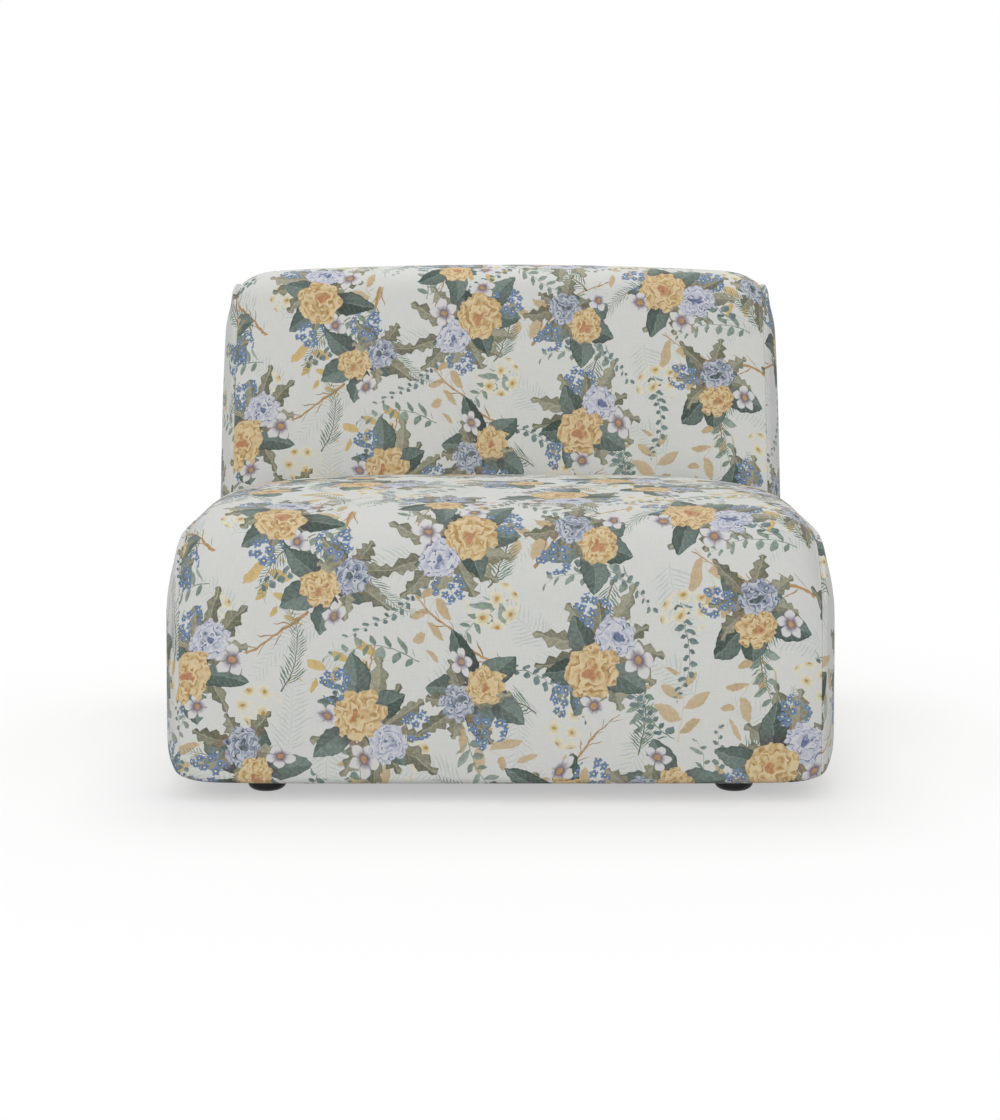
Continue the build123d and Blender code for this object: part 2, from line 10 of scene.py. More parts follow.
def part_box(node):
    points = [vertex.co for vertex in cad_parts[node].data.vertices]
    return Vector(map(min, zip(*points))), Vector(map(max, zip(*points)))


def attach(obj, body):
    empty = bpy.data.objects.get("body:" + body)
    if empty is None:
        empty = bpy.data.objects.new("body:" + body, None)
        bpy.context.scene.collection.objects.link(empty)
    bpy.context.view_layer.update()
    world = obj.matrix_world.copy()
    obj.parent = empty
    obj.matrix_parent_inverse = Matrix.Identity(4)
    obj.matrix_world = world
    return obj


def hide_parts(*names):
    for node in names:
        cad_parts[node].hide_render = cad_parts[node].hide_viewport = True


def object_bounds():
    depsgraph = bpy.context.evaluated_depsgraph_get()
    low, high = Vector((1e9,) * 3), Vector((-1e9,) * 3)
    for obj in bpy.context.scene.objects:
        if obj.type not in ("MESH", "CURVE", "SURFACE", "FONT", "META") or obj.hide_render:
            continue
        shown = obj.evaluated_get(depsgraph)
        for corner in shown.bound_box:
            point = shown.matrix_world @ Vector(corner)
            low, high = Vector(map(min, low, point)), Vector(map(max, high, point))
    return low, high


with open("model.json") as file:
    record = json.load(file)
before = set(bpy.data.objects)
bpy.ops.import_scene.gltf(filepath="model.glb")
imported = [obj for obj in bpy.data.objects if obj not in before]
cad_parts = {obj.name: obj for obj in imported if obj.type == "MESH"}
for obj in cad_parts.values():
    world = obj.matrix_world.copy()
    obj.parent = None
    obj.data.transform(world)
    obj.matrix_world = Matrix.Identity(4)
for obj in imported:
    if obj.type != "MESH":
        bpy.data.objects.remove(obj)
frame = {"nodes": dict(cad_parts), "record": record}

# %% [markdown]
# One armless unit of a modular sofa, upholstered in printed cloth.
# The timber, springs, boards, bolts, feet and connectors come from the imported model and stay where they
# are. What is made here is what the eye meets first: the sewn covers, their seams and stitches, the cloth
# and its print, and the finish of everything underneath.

cad_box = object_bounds()
scene = bpy.context.scene
mm = 0.001
print("packed model from", [round(v, 3) for v in cad_box[0]], "to", [round(v, 3) for v in cad_box[1]])

# %% [markdown]
# The camera stands level, a little over three metres in front of the seat and at the height of the
# backrest's top edge, which is why the seat shows as a thin slope. The sofa sits low in the picture, so the
# lens is shifted down instead of tilted, and upright edges stay upright.

# %% Camera
picture_height = 1120
horizon_row = 267.6
pixels_per_metre_at_one_metre = 2338
camera_aside = -0.7 * mm
camera_distance = 3.78
camera_height = 0.758
camera_data = bpy.data.cameras.new("camera")
camera_data.sensor_width = 36
camera_data.lens = pixels_per_metre_at_one_metre / picture_height * camera_data.sensor_width
camera_data.shift_y = (horizon_row - picture_height / 2) / picture_height
camera = bpy.data.objects.new("camera", camera_data)
camera.location = (camera_aside, -camera_distance, camera_height)
camera.rotation_euler = (math.radians(90), 0, 0)
scene.collection.objects.link(camera)
scene.camera = camera
scene.view_settings.view_transform = "Standard"
print("lens", round(camera_data.lens, 1), "mm, shift", round(camera_data.shift_y, 3))

# %% [markdown]
# A material is a tree of nodes. One function adds a node: it takes the node's kind, its settings and what
# goes into it. What a node gives out is a flow, and flows take the signs of arithmetic, so that a formula
# reads as a formula and still becomes nodes. Colours are written as they look on screen, in sRGB hex, and
# are turned to the linear values that light is reckoned in.

# %% Colours, nodes and formulas
MATH = "ShaderNodeMath"
VECTORS = "ShaderNodeVectorMath"
RANGE = "ShaderNodeMapRange"
MIX = "ShaderNodeMix"
NOISE = "ShaderNodeTexNoise"
XYZ = "ShaderNodeCombineXYZ"
BUMP = "ShaderNodeBump"
x_axis, y_axis, z_axis = (1, 0, 0), (0, 1, 0), (0, 0, 1)
full_turn = 2 * math.pi


def linear(hex_colour):
    """A colour written in sRGB hex, as linear red, green, blue and alpha."""
    channels = [int(hex_colour[i : i + 2], 16) / 255 for i in (1, 3, 5)]
    return [c / 12.92 if c <= 0.04045 else ((c + 0.055) / 1.055) ** 2.4 for c in channels] + [1]


class Flow:
    """What a node gives out. Formulas of flows add the nodes that work them out."""

    def __init__(self, tree, socket):
        self.tree = tree
        self.socket = socket

    def __getitem__(self, title):
        """Another output of the same node."""
        return Flow(self.tree, self.socket.node.outputs[title])

    def worked(self, operation, *terms):
        """An operation on terms, which are numbers or vectors as this flow is."""
        kind = MATH if self.socket.type == "VALUE" else VECTORS
        return add(self.tree, kind, {"operation": operation}, terms)

    def by(self, operation, *terms):
        """An operation on this flow, with other terms after it."""
        return self.worked(operation, self, *terms)

    def __add__(self, other):
        return self.by("ADD", other)

    def __sub__(self, other):
        return self.by("SUBTRACT", other)

    def __rsub__(self, other):
        return self.worked("SUBTRACT", other, self)

    def __mul__(self, other):
        return self.by("MULTIPLY", other)

    def __truediv__(self, other):
        return self.by("DIVIDE", other)

    def __rtruediv__(self, other):
        return self.worked("DIVIDE", other, self)

    def __abs__(self):
        return self.by("ABSOLUTE")

    def along(self, axis):
        """How far a vector goes along an axis."""
        return self.by("DOT_PRODUCT", axis)

    def length(self):
        """How long a vector is."""
        return self.by("LENGTH")["Value"]

    def ranged(self, *limits, **settings):
        """A number, carried from one range to another: from 0 to 1 where no other is given."""
        return add(self.tree, RANGE, settings, (self, *limits))

    def eased(self, *limits):
        """A number, carried from one range to another, slowly at both ends."""
        return self.ranged(*limits, interpolation_type="SMOOTHSTEP")

    def between(self, first, second):
        """A colour between two, by this share: a mix node's inputs 6 and 7 are its colours."""
        return add(self.tree, MIX, {"data_type": "RGBA"}, {0: self, 6: first, 7: second})


def add(tree, kind, settings=None, inputs=()):
    """Adds a node, with values, colours or other nodes' flows for its inputs, and gives its own flow."""
    node = tree.nodes.new(kind)
    for name, value in (settings or {}).items():
        setattr(node, name, value)
    for key, value in inputs.items() if isinstance(inputs, dict) else enumerate(inputs):
        if isinstance(value, Flow):
            tree.links.new(value.socket, node.inputs[key])
        elif isinstance(value, str):
            node.inputs[key].default_value = linear(value)
        else:
            node.inputs[key].default_value = value
    return Flow(tree, next((socket for socket in node.outputs if socket.enabled), None))


def material(name):
    """A new material with an empty tree."""
    made = bpy.data.materials.new(name)
    made.use_nodes = True
    made.node_tree.nodes.clear()
    return made, made.node_tree


def coat(tree, values):
    """Ends a material with a surface that has these values."""
    surface = add(tree, "ShaderNodeBsdfPrincipled", None, values)
    add(tree, "ShaderNodeOutputMaterial", None, {"Surface": surface})


# %% [markdown]
# The sofa stands in soft studio light on a pale floor. The floor is a shade under white, and only what the
# camera sees of it straight is lifted to white, so that its shadow stays but its light on the sofa does
# not grow. From below it is clear, which shows the sofa's underside.

# %% Floor and lights
white = (1, 1, 1, 1)
floor_half = 30
shadow_reach = 1.5
shadow_fade = 0.75
floor_lift = 0.455
fill_strength = 0.61


def seen_by_camera(tree):
    """Whether a ray comes from the camera, straight, off a shine or through a clear thing."""
    rays = add(tree, "ShaderNodeLightPath")
    seen = rays["Is Camera Ray"].by("MAXIMUM", rays["Is Glossy Ray"])
    return seen.by("MAXIMUM", rays["Is Transmission Ray"])


floor_mesh = bpy.data.meshes.new("floor")
corners = [(x, y, 0) for x, y in ((-1, -1), (1, -1), (1, 1), (-1, 1))]
floor_mesh.from_pydata([Vector(c) * floor_half for c in corners], [], [(0, 1, 2, 3)])
floor = bpy.data.objects.new("floor", floor_mesh)
scene.collection.objects.link(floor)
floor_material, tree = material("floor paper")
paper = add(tree, "ShaderNodeBsdfDiffuse", None, {"Color": "#D8D8D8"})
seen_paper = add(tree, "ShaderNodeBsdfDiffuse", None, {"Color": "#CFCFCF"})
lift = add(tree, "ShaderNodeEmission", None, {"Color": white, "Strength": floor_lift})
lifted = add(tree, "ShaderNodeAddShader", None, (seen_paper, lift))
plain = add(tree, "ShaderNodeEmission", None, {"Color": white, "Strength": 1})
distance = add(tree, "ShaderNodeTexCoord")["Object"].length()
far = distance.eased(shadow_reach - shadow_fade, shadow_reach)
seen_floor = add(tree, "ShaderNodeMixShader", None, (far, lifted, plain))
whole = add(tree, "ShaderNodeMixShader", None, (seen_by_camera(tree), paper, seen_floor))
below = add(tree, "ShaderNodeNewGeometry")["Backfacing"]
clear = add(tree, "ShaderNodeBsdfTransparent", None, {"Color": white})
whole = add(tree, "ShaderNodeMixShader", None, (below, whole, clear))
add(tree, "ShaderNodeOutputMaterial", None, {"Surface": whole})
floor_mesh.materials.append(floor_material)

world = bpy.data.worlds.new("studio")
scene.world = world
world.use_nodes = True
tree = world.node_tree
tree.nodes.clear()
seen = seen_by_camera(tree)
fill = add(tree, "ShaderNodeBackground", None, {"Color": white, "Strength": fill_strength})
backdrop = add(tree, "ShaderNodeBackground", None, {"Color": white, "Strength": 1})
sky = add(tree, "ShaderNodeMixShader", None, (seen, fill, backdrop))
add(tree, "ShaderNodeOutputWorld", None, {"Surface": sky})

lit_point = Vector((0, 0, 0.4))


def soft_box(name, place, size, power):
    """A square studio light that faces the middle of the sofa."""
    data = bpy.data.lights.new(name, "AREA")
    data.shape = "SQUARE"
    data.size = size
    data.energy = power
    lamp = bpy.data.objects.new(name, data)
    lamp.location = place
    lamp.rotation_euler = (lit_point - Vector(place)).to_track_quat("-Z", "Y").to_euler()
    scene.collection.objects.link(lamp)


soft_box("top light", (0, 1.2, 3.1), 1.7, 26)
soft_box("front light", (-1.5, -8, 2.7), 4.4, 200)

# %% [markdown]
# The covers follow the block of timber, springs and foam under them, so their outlines use the same sizes
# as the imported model, in metres. Each block is seen from its side as straight stretches and arcs. The
# wrapped panel repeats that outline across the sofa: it is crowned in the middle and falls away to the
# seams, slowly at first and then fast.

# %% Sizes of the two upholstered blocks
box_low, box_high = Vector(cad_box[0]), Vector(cad_box[1])
width = box_high.x - box_low.x
front_y, rear_y = box_low.y, box_high.y
height = box_high.z
floor_gap = 24.6 * mm

seat_height = 420 * mm
seat_crown = 10 * mm
seat_side_drop = 36 * mm
seat_front_draw = 15 * mm
seat_front_radius = 112 * mm
seat_front_tuck = 10 * mm
seat_rear_radius = 22 * mm
bottom_radius = 14 * mm
bottom_lift = 7 * mm
base_side_swell = 28 * mm
base_side_dome = 112 * mm
base_bottom_share = 0.38
deck_height = 310 * mm
deck_edge_radius = 12 * mm
back_depth = 300 * mm
back_lean = 12
back_crown = 7 * mm
back_side_drop = 30 * mm
back_face_swell = 10 * mm
back_face_draw = 16 * mm
back_front_radius = 64 * mm
back_rear_radius = 70 * mm
back_side_swell = 27 * mm
back_side_inset = 32 * mm
back_side_dome = 90 * mm
rear_draw = 10 * mm
tightening_share = 0.85
face_draw_low_share = 0.3
half_seam = width / 2 - base_side_swell
half_back_seam = width / 2 - back_side_inset
block_gap = 0.3 * mm
back_base = deck_height + block_gap


def face_y(z):
    """Where the backrest's leaning face is at height z."""
    return rear_y - back_depth + (z - seat_height) * math.tan(math.radians(back_lean))


def crown_angle(crown, span):
    """The slope in degrees at the ends of a shallow arc."""
    return math.degrees(2 * math.atan(2 * crown / span))


def around(centre, radius, angle):
    """A point on a circle in the side view, at an angle from +Y towards +Z."""
    turn = math.radians(angle)
    return Vector((centre[0] + radius * math.cos(turn), centre[1] + radius * math.sin(turn)))


def bowed(start, through, end, count):
    """Points of the arc through three points, without its start."""
    a, b, c = Vector(start), Vector(through), Vector(end)
    points = []
    for i in range(1, count + 1):
        t = i / count
        points.append(a * (1 - t) * (1 - 2 * t) + b * 4 * t * (1 - t) + c * t * (2 * t - 1))
    return points


def straight(start, end, count):
    """Points of a straight stretch, without its start."""
    a, b = Vector(start), Vector(end)
    return [a.lerp(b, i / count) for i in range(1, count + 1)]


def turned(centre, radius, first, last, count):
    """Points of a circle's arc between two angles, without its start."""
    return [around(centre, radius, first + (last - first) * i / count) for i in range(1, count + 1)]


# %% [markdown]
# The seat base seen from its side, from the hem under its front, up the front, over the seat, down behind
# it, along the deck that the backrest stands on, and down the rear to the hem under it. The number of
# points on each stretch stays the same at every place across the sofa, so that the outlines join into an
# even grid of squares.

# %% Outlines
hem_reach = 44 * mm
hem_rise_reach = 14 * mm
dust_low, dust_high = (Vector(corner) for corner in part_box("dust_cloth"))
hem_sink = 0.4 * mm
hem_level = dust_high.z - hem_sink


def base_outline(falls, inset):
    """The seat base from the side: its front, rear and hem have given way by shares of their drops."""
    front = front_y + seat_front_draw * falls[0] + inset
    rear = rear_y - rear_draw * falls[1] - inset
    top = seat_height - seat_side_drop * falls[0] - inset
    rear_top = seat_height - seat_side_drop * falls[1] - inset
    deck = deck_height - inset
    low = floor_gap + bottom_lift * falls[2] + inset * base_bottom_share
    tightening = 1 - tightening_share * inset / base_side_dome
    front_radius = seat_front_radius * tightening
    rear_radius = seat_rear_radius * tightening
    edge_radius = deck_edge_radius * tightening
    slope = crown_angle(seat_crown, face_y(seat_height) - front_y - front_radius - rear_radius)
    rise = math.cos(math.radians(slope))

    toe = (front + seat_front_tuck + bottom_radius, low + bottom_radius)
    shoulder_z = top - seat_crown - front_radius * rise
    face = shoulder_z - toe[1]
    bow = (seat_front_tuck**2 + face**2) / (2 * seat_front_tuck)
    bow_turn = math.degrees(math.asin(face / bow))
    bow_centre = (front + bow, shoulder_z)
    shoulder = (front + front_radius, shoulder_z)
    heel_z = rear_top - seat_crown - rear_radius * rise
    wall_z = heel_z - rear_radius * math.sin(math.radians(back_lean))
    wall_y = face_y(wall_z) - block_gap - inset
    heel = (wall_y - rear_radius * math.cos(math.radians(back_lean)), heel_z)
    crest_front = around(shoulder, front_radius, 90 + slope)
    crest_rear = around(heel, rear_radius, 90 - slope)
    crest = ((crest_front[0] + crest_rear[0]) / 2, (top + rear_top) / 2)
    wall_foot = (face_y(deck) - block_gap - inset, deck)
    deck_end = (rear - edge_radius, deck - edge_radius)
    rear_heel = (rear - bottom_radius, low + bottom_radius)

    underside = around(toe, bottom_radius, 270)
    tucked = max(hem_level, low)
    points = [Vector((underside.x + hem_reach, tucked))]
    points += straight(points[-1], (underside.x + hem_rise_reach, tucked), 2)
    points += straight(points[-1], underside, 2)
    points += turned(toe, bottom_radius, 270, 180, 5)
    points += turned(bow_centre, bow, 180 + bow_turn, 180, 20)
    points += turned(shoulder, front_radius, 180, 90 + slope, 16)
    points += bowed(crest_front, crest, crest_rear, 42)
    points += turned(heel, rear_radius, 90 - slope, -back_lean, 6)
    points += straight(points[-1], wall_foot, 5)
    points += straight(wall_foot, around(deck_end, edge_radius, 90), 16)
    points += turned(deck_end, edge_radius, 90, 0, 5)
    points += straight(points[-1], (rear, rear_heel[1]), 22)
    points += turned(rear_heel, bottom_radius, 0, -90, 5)
    points += straight(points[-1], (rear_heel[0] - hem_rise_reach, tucked), 2)
    points += straight(points[-1], (rear_heel[0] - hem_reach, tucked), 2)
    return points


def back_outline(falls, inset):
    """The backrest from the side, with its top fallen by a share of the side drop and drawn in by inset."""
    fall = falls[0]
    draw = back_face_draw * fall
    rear = rear_y - rear_draw * fall - inset
    top = height - back_side_drop * fall - inset
    low = back_base
    tightening = 1 - tightening_share * inset / back_side_dome
    front_radius = back_front_radius * tightening
    rear_radius = back_rear_radius * tightening
    slope = crown_angle(back_crown, rear_y - face_y(height) - front_radius - rear_radius)
    rise = math.cos(math.radians(slope))
    hem_z = max(seat_height - seat_side_drop * fall, low + bottom_radius)
    face_length = top - hem_z - front_radius
    lean = back_lean + math.degrees(2 * math.atan(2 * back_face_swell / face_length))
    brow_z = top - back_crown - front_radius * rise
    face_end_z = brow_z + front_radius * math.sin(math.radians(lean))
    face_end_y = face_y(face_end_z) + draw + inset
    brow = (face_end_y + front_radius * math.cos(math.radians(lean)), brow_z)
    hem = (face_y(hem_z) + draw * face_draw_low_share + inset, hem_z)
    middle = (
        (hem[0] + face_end_y) / 2 - back_face_swell * math.cos(math.radians(back_lean)),
        (hem_z + face_end_z) / 2 + back_face_swell * math.sin(math.radians(back_lean)),
    )
    nape = (rear - rear_radius, top - back_crown - rear_radius * rise)
    crest_front = around(brow, front_radius, 90 + slope)
    crest_rear = around(nape, rear_radius, 90 - slope)
    crest = ((crest_front[0] + crest_rear[0]) / 2, top)
    start = (face_y(low) + inset, low)
    points = [Vector((start[0] + hem_reach, low)), Vector(start)]
    points += straight(start, hem, 7)
    points += bowed(hem, middle, (face_end_y, face_end_z), 20)
    points += turned(brow, front_radius, 180 - lean, 90 + slope, 12)
    points += bowed(crest_front, crest, crest_rear, 12)
    points += turned(nape, rear_radius, 90 - slope, 0, 12)
    points += straight(points[-1], (rear, low), 32)
    points.append(points[-1] - Vector((hem_reach, 0)))
    return points


unfallen = (0, 0, 0)
print("points along the outlines", len(base_outline(unfallen, 0)), "and", len(back_outline(unfallen, 0)))

# %% [markdown]
# Every piece made here ends as a mesh, a list of points and of the faces between them, shaded smooth.

# %% Meshes


def mesh_piece(name, points, faces):
    """A smooth piece of its own in the scene."""
    mesh = bpy.data.meshes.new(name)
    mesh.from_pydata(points, [], faces)
    mesh.shade_smooth()
    piece = bpy.data.objects.new(name, mesh)
    scene.collection.objects.link(piece)
    return piece


# %% [markdown]
# A wrapped panel is a grid: outlines repeated across the sofa, closer together near the seams, where the
# cloth bends. Each point also gets its place on the flat cloth in metres, in a UV map, so that the weave
# and the print run with the cloth and not with the room. At a seam both panels roll inwards against each
# other and end in the seam allowance, which leaves a fine dark crease. Beside it the thread gathers the
# cloth into shallow dimples.

# %% Wrapped panels
column_step = 12 * mm
seam_steps = (9 * mm, 6 * mm, 4 * mm, 3 * mm)
seam_setback = 6 * mm
seam_radius = 2.4 * mm
seam_turn = 135
seam_arc_count = 5
allowance = 4 * mm
gather_width = 24 * mm
gather_depth = 1.1 * mm
gather_beat, gather_drift, gather_wander = 2.3, 0.9, 1.7
# the slow part of each fall, the power of the slow part and the power of the fast one
front_fall, rear_fall, hem_fall = (0.13, 4, 24), (0.85, 5, 20), (0.25, 6, 30)
back_fall = (0.44, 2, 24)


def slow_then_fast(share, slow_part, slow_power, fast_power):
    """A fall from the middle to a seam, one part of it slow and the rest close to the seam."""
    return slow_part * share**slow_power + (1 - slow_part) * share**fast_power


def base_falls(share):
    """How much the seat's front, its rear and the hem have given way at a share of its half width."""
    return [slow_then_fast(share, *fall) for fall in (front_fall, rear_fall, hem_fall)]


def back_falls(share):
    """How much the backrest's top has fallen at a share of its half width."""
    return [slow_then_fast(share, *back_fall)]


def rolled_edge():
    """Cloth that rolls into a seam at a corner: how far behind the corner it is, and how deep."""
    places = []
    for i in range(seam_arc_count + 1):
        turn = math.radians(90 - seam_turn * i / seam_arc_count)
        behind = seam_setback - seam_radius * math.cos(turn)
        places.append((behind, seam_radius * (1 - math.sin(turn))))
    behind, deep = places[-1]
    return places + [(behind + allowance, deep + allowance)]


def columns(half):
    """Places across a panel from seam to seam and how deep each lies, closer together near the seams."""
    flat = half - seam_setback - sum(seam_steps)
    count = round(2 * flat / column_step)
    places = [(-flat + 2 * flat * i / count, 0) for i in range(count + 1)]
    ends = [(flat + sum(seam_steps[: i + 1]), 0) for i in range(len(seam_steps))]
    ends += [(half - behind, deep) for behind, deep in rolled_edge()[1:]]
    return [(-x, deep) for x, deep in reversed(ends)] + places + ends


def normals_2d(points):
    """Outward directions along an outline that runs clockwise seen from +X."""
    found = []
    for i in range(len(points)):
        before, after = points[max(i - 1, 0)], points[min(i + 1, len(points) - 1)]
        along = (after - before).normalized()
        found.append(Vector((-along.y, along.x)))
    return found


def gathered(i, distance):
    """How deep the dimple is beside a seam, at a point of its outline and a distance from it."""
    share = min(1, max(0, distance - seam_setback) / gather_width)
    waver = math.sin(gather_beat * i + gather_wander * math.sin(gather_drift * i))
    unevenness = 0.5 + 0.5 * waver
    return gather_depth * 4 * share * (1 - share) * unevenness


def wrapped_panel(name, outline, falls, half):
    """A panel from seam to seam, with the cloth's own coordinates in its UV map."""
    places = columns(half)
    middle = outline(unfallen, 0)
    lengths = [0]
    for a, b in zip(middle, middle[1:]):
        lengths.append(lengths[-1] + (b - a).length)
    grid = []
    for x, deep in places:
        share = 1 if deep else abs(x) / (half - seam_setback)
        points = outline(falls(share), 0)
        sinks = [deep + gathered(i, half - abs(x)) for i in range(len(points))]
        grid.append([
            Vector((x, *(p - n * sink))) for p, n, sink in zip(points, normals_2d(points), sinks)
        ])
    rows = len(middle)
    faces = []
    for c in range(len(grid) - 1):
        for r in range(rows - 1):
            a, b = c * rows + r, (c + 1) * rows + r
            faces.append((a, b, b + 1, a + 1))
    piece = mesh_piece(name, [p for column in grid for p in column], faces)
    cloth = piece.data.uv_layers.new(name="cloth")
    centre = len(grid) // 2
    across = [[0.0] * rows for _ in grid]
    for r in range(rows):
        for c in range(centre + 1, len(grid)):
            across[c][r] = across[c - 1][r] + (grid[c][r] - grid[c - 1][r]).length
        for c in range(centre - 1, -1, -1):
            across[c][r] = across[c + 1][r] - (grid[c][r] - grid[c + 1][r]).length
    for corner in piece.data.loops:
        c, r = divmod(corner.vertex_index, rows)
        cloth.data[corner.index].uv = (across[c][r], lengths[r])
    return piece


base_wrap = wrapped_panel("base_cover_wrap", base_outline, base_falls, half_seam)
back_wrap = wrapped_panel("back_cover_wrap", back_outline, back_falls, half_back_seam)
print("wrapped panels", len(base_wrap.data.polygons), "and", len(back_wrap.data.polygons), "faces")

# %% [markdown]
# A side panel is cut to the outline and sewn into it all round, and the wadding under it makes it rise
# from the seam in a quick curve to an almost flat field. Rings of the outline, each drawn in further, make
# the curve. The field inside is filled with an even net of triangles.

# %% Side panels
ring_shares = (0.01, 0.026, 0.045, 0.08, 0.13, 0.2, 0.29, 0.4, 0.53, 0.67, 0.83, 1)
quick_share = 0.12
quick_reach = 0.04
slow_power = 1.8
field_step = 16 * mm
field_clearance = 0.7 * field_step
field_rise = 3 * mm
field_rise_reach = 70 * mm
same_point = mm * mm
print_shift = 1.7
fallen = (1, 1, 1)
puff_width = 24 * mm
underside_count = 24
side_hem_reach = 36 * mm
# a corner's point on the outline, how many points its filling spreads over, and how far it pushes out
seat_corner = (44, 16, 10 * mm)
back_corner = (38, 9, 19 * mm)


def rise_of(share):
    """How far a side panel has risen, as a share of its swell, at a share of its dome's width."""
    quick = 1 - math.exp(-share / quick_reach)
    return quick_share * quick + (1 - quick_share) * (1 - (1 - share) ** slow_power)


def looped(points):
    """An outline, with its underside closed by a straight stretch."""
    return points + straight(points[-1], points[0], underside_count)[:-1]


def puffed(points, inset, corner):
    """A ring's points, pushed out where wadding fills the panel's upper front corner."""
    number, spread, puff = corner
    share = min(max(0, inset - seam_setback) / puff_width, 1)
    lift = puff * 4 * share * (1 - share)
    pushes = [lift * math.exp(-(((i - number) / spread) ** 2)) for i in range(len(points))]
    return [p + n * push for p, n, push in zip(points, normals_2d(points), pushes)]


def side_rings(outline, half, swell, dome, corner, hem_z):
    """A side panel's rings from its allowance inwards, and the same rings laid flat as cloth."""
    stretch = [(half - deep, behind) for behind, deep in reversed(rolled_edge())]
    for share in ring_shares:
        stretch.append((half + swell * rise_of(share), seam_setback + share * (dome - seam_setback)))
    run = [0]
    for a, b in zip(stretch, stretch[1:]):
        run.append(run[-1] + math.dist(a, b))
    rings, cloth_rings = [], []
    for (x, inset), length in zip(stretch, run):
        points = looped(puffed(outline(fallen, inset), inset, corner))
        rings.append([Vector((x - gathered(i, inset), p.x, p.y)) for i, p in enumerate(points)])
        cloth_rings.append(looped(outline(fallen, dome - (run[-1] - length))))
    underside = range(len(rings[0]) - underside_count + 1, len(rings[0]))
    hems = [ring for ring, (x, _) in zip(rings, stretch) if x <= half] if hem_z else []
    for ring in hems:
        for i in underside:
            ring[i].z = hem_z
    for i in underside:
        rings[0][i].x = half - side_hem_reach
    return rings, cloth_rings


def field_spots(edge):
    """Places at an even pitch inside a ring of cloth, clear of its edge."""
    low = Vector((min(p.x for p in edge), min(p.y for p in edge)))
    high = Vector((max(p.x for p in edge), max(p.y for p in edge)))
    size = [high[i] - low[i] for i in (0, 1)]
    steps = [round(length / field_step) for length in size]
    spots = []
    for i in range(1, steps[0]):
        for j in range(1, steps[1]):
            spot = Vector((low.x + size[0] * i / steps[0], low.y + size[1] * j / steps[1]))
            if min((spot - p).length for p in edge) > field_clearance:
                spots.append(spot)
    return spots


def side_panel(name, outline, half, swell, dome, side, corner, hem_z=None):
    """A padded side panel on one side of the sofa, whose hem may lie at a height of its own."""
    rings, cloth_rings = side_rings(outline, half, swell, dome, corner, hem_z)
    points = [p for ring in rings for p in ring]
    cloth_points = [p for ring in cloth_rings for p in ring]
    count = len(rings[0])
    faces = []
    for r in range(len(rings) - 1):
        low_row, high_row = r * count, (r + 1) * count
        for i in range(count):
            after = (i + 1) % count
            faces.append((low_row + i, low_row + after, high_row + after, high_row + i))
    edge = cloth_rings[-1]
    edge_start = len(points) - count
    border = [(i, (i + 1) % count) for i in range(count)]
    found, _, fills, origins, _, _ = delaunay_2d_cdt(edge + field_spots(edge), border, [], 1, same_point)
    number = []
    for spot, sources in zip(found, origins):
        if sources and sources[0] < count:
            number.append(edge_start + sources[0])
        else:
            reach = min((spot - p).length for p in edge)
            rise = field_rise * (1 - math.exp(-((reach / field_rise_reach) ** 2)))
            number.append(len(points))
            points.append(Vector((rings[-1][0].x + rise, spot.x, spot.y)))
            cloth_points.append(spot)
    faces += [tuple(number[v] for v in fill) for fill in fills]
    piece = mesh_piece(name, [Vector((side * p.x, p.y, p.z)) for p in points], faces)
    cloth = piece.data.uv_layers.new(name="cloth")
    for loop in piece.data.loops:
        spot = cloth_points[loop.vertex_index]
        cloth.data[loop.index].uv = (side * (print_shift + spot.x), spot.y)
    return piece


def face_outwards(piece):
    """Turns faces so that they point away from the sofa."""
    shape = bmesh.new()
    shape.from_mesh(piece.data)
    bmesh.ops.recalc_face_normals(shape, faces=shape.faces)
    largest = max(shape.faces, key=lambda f: f.calc_area())
    centre = (box_low + box_high) / 2
    if largest.normal.dot(largest.calc_center_median() - centre) < 0:
        bmesh.ops.reverse_faces(shape, faces=shape.faces)
    shape.to_mesh(piece.data)
    shape.free()


sides = {"left": -1, "right": 1}
base_sides = {}
back_sides = {}
for word, side in sides.items():
    base_sides[word] = side_panel(
        f"base_cover_side_{word}", base_outline, half_seam, base_side_swell, base_side_dome, side,
        seat_corner, hem_level
    )
    back_sides[word] = side_panel(
        f"back_cover_side_{word}", back_outline, half_back_seam, back_side_swell, back_side_dome, side,
        back_corner
    )
covers = [base_wrap, back_wrap, *base_sides.values(), *back_sides.values()]
for piece in covers:
    face_outwards(piece)
    print(piece.name, len(piece.data.polygons), "faces")

# %% [markdown]
# The cloth is a tightly woven linen look printed with flowers. A print can be an image, but drawn with
# nodes it has no edges and stays sharp at any distance. Everything is drawn in millimetres on the flat
# cloth. A Voronoi texture scatters the places: each point of the cloth knows its nearest place, and how it
# lies from there is all that a motif needs to draw itself. The motifs are node groups, drawn once and used
# many times with other sizes and colours.

# %% How motifs are scattered
WHITE_NOISE = "ShaderNodeTexWhiteNoise"
ROTATE = "ShaderNodeVectorRotate"
about_z = {"rotation_type": "Z_AXIS"}
on_cloth = {"noise_dimensions": "2D"}
in_space = {"noise_dimensions": "3D"}
scalar = "NodeSocketFloat"
vector = "NodeSocketVector"
colour = "NodeSocketColor"
colour_and_mask = [(colour, "Color"), (scalar, "Mask")]


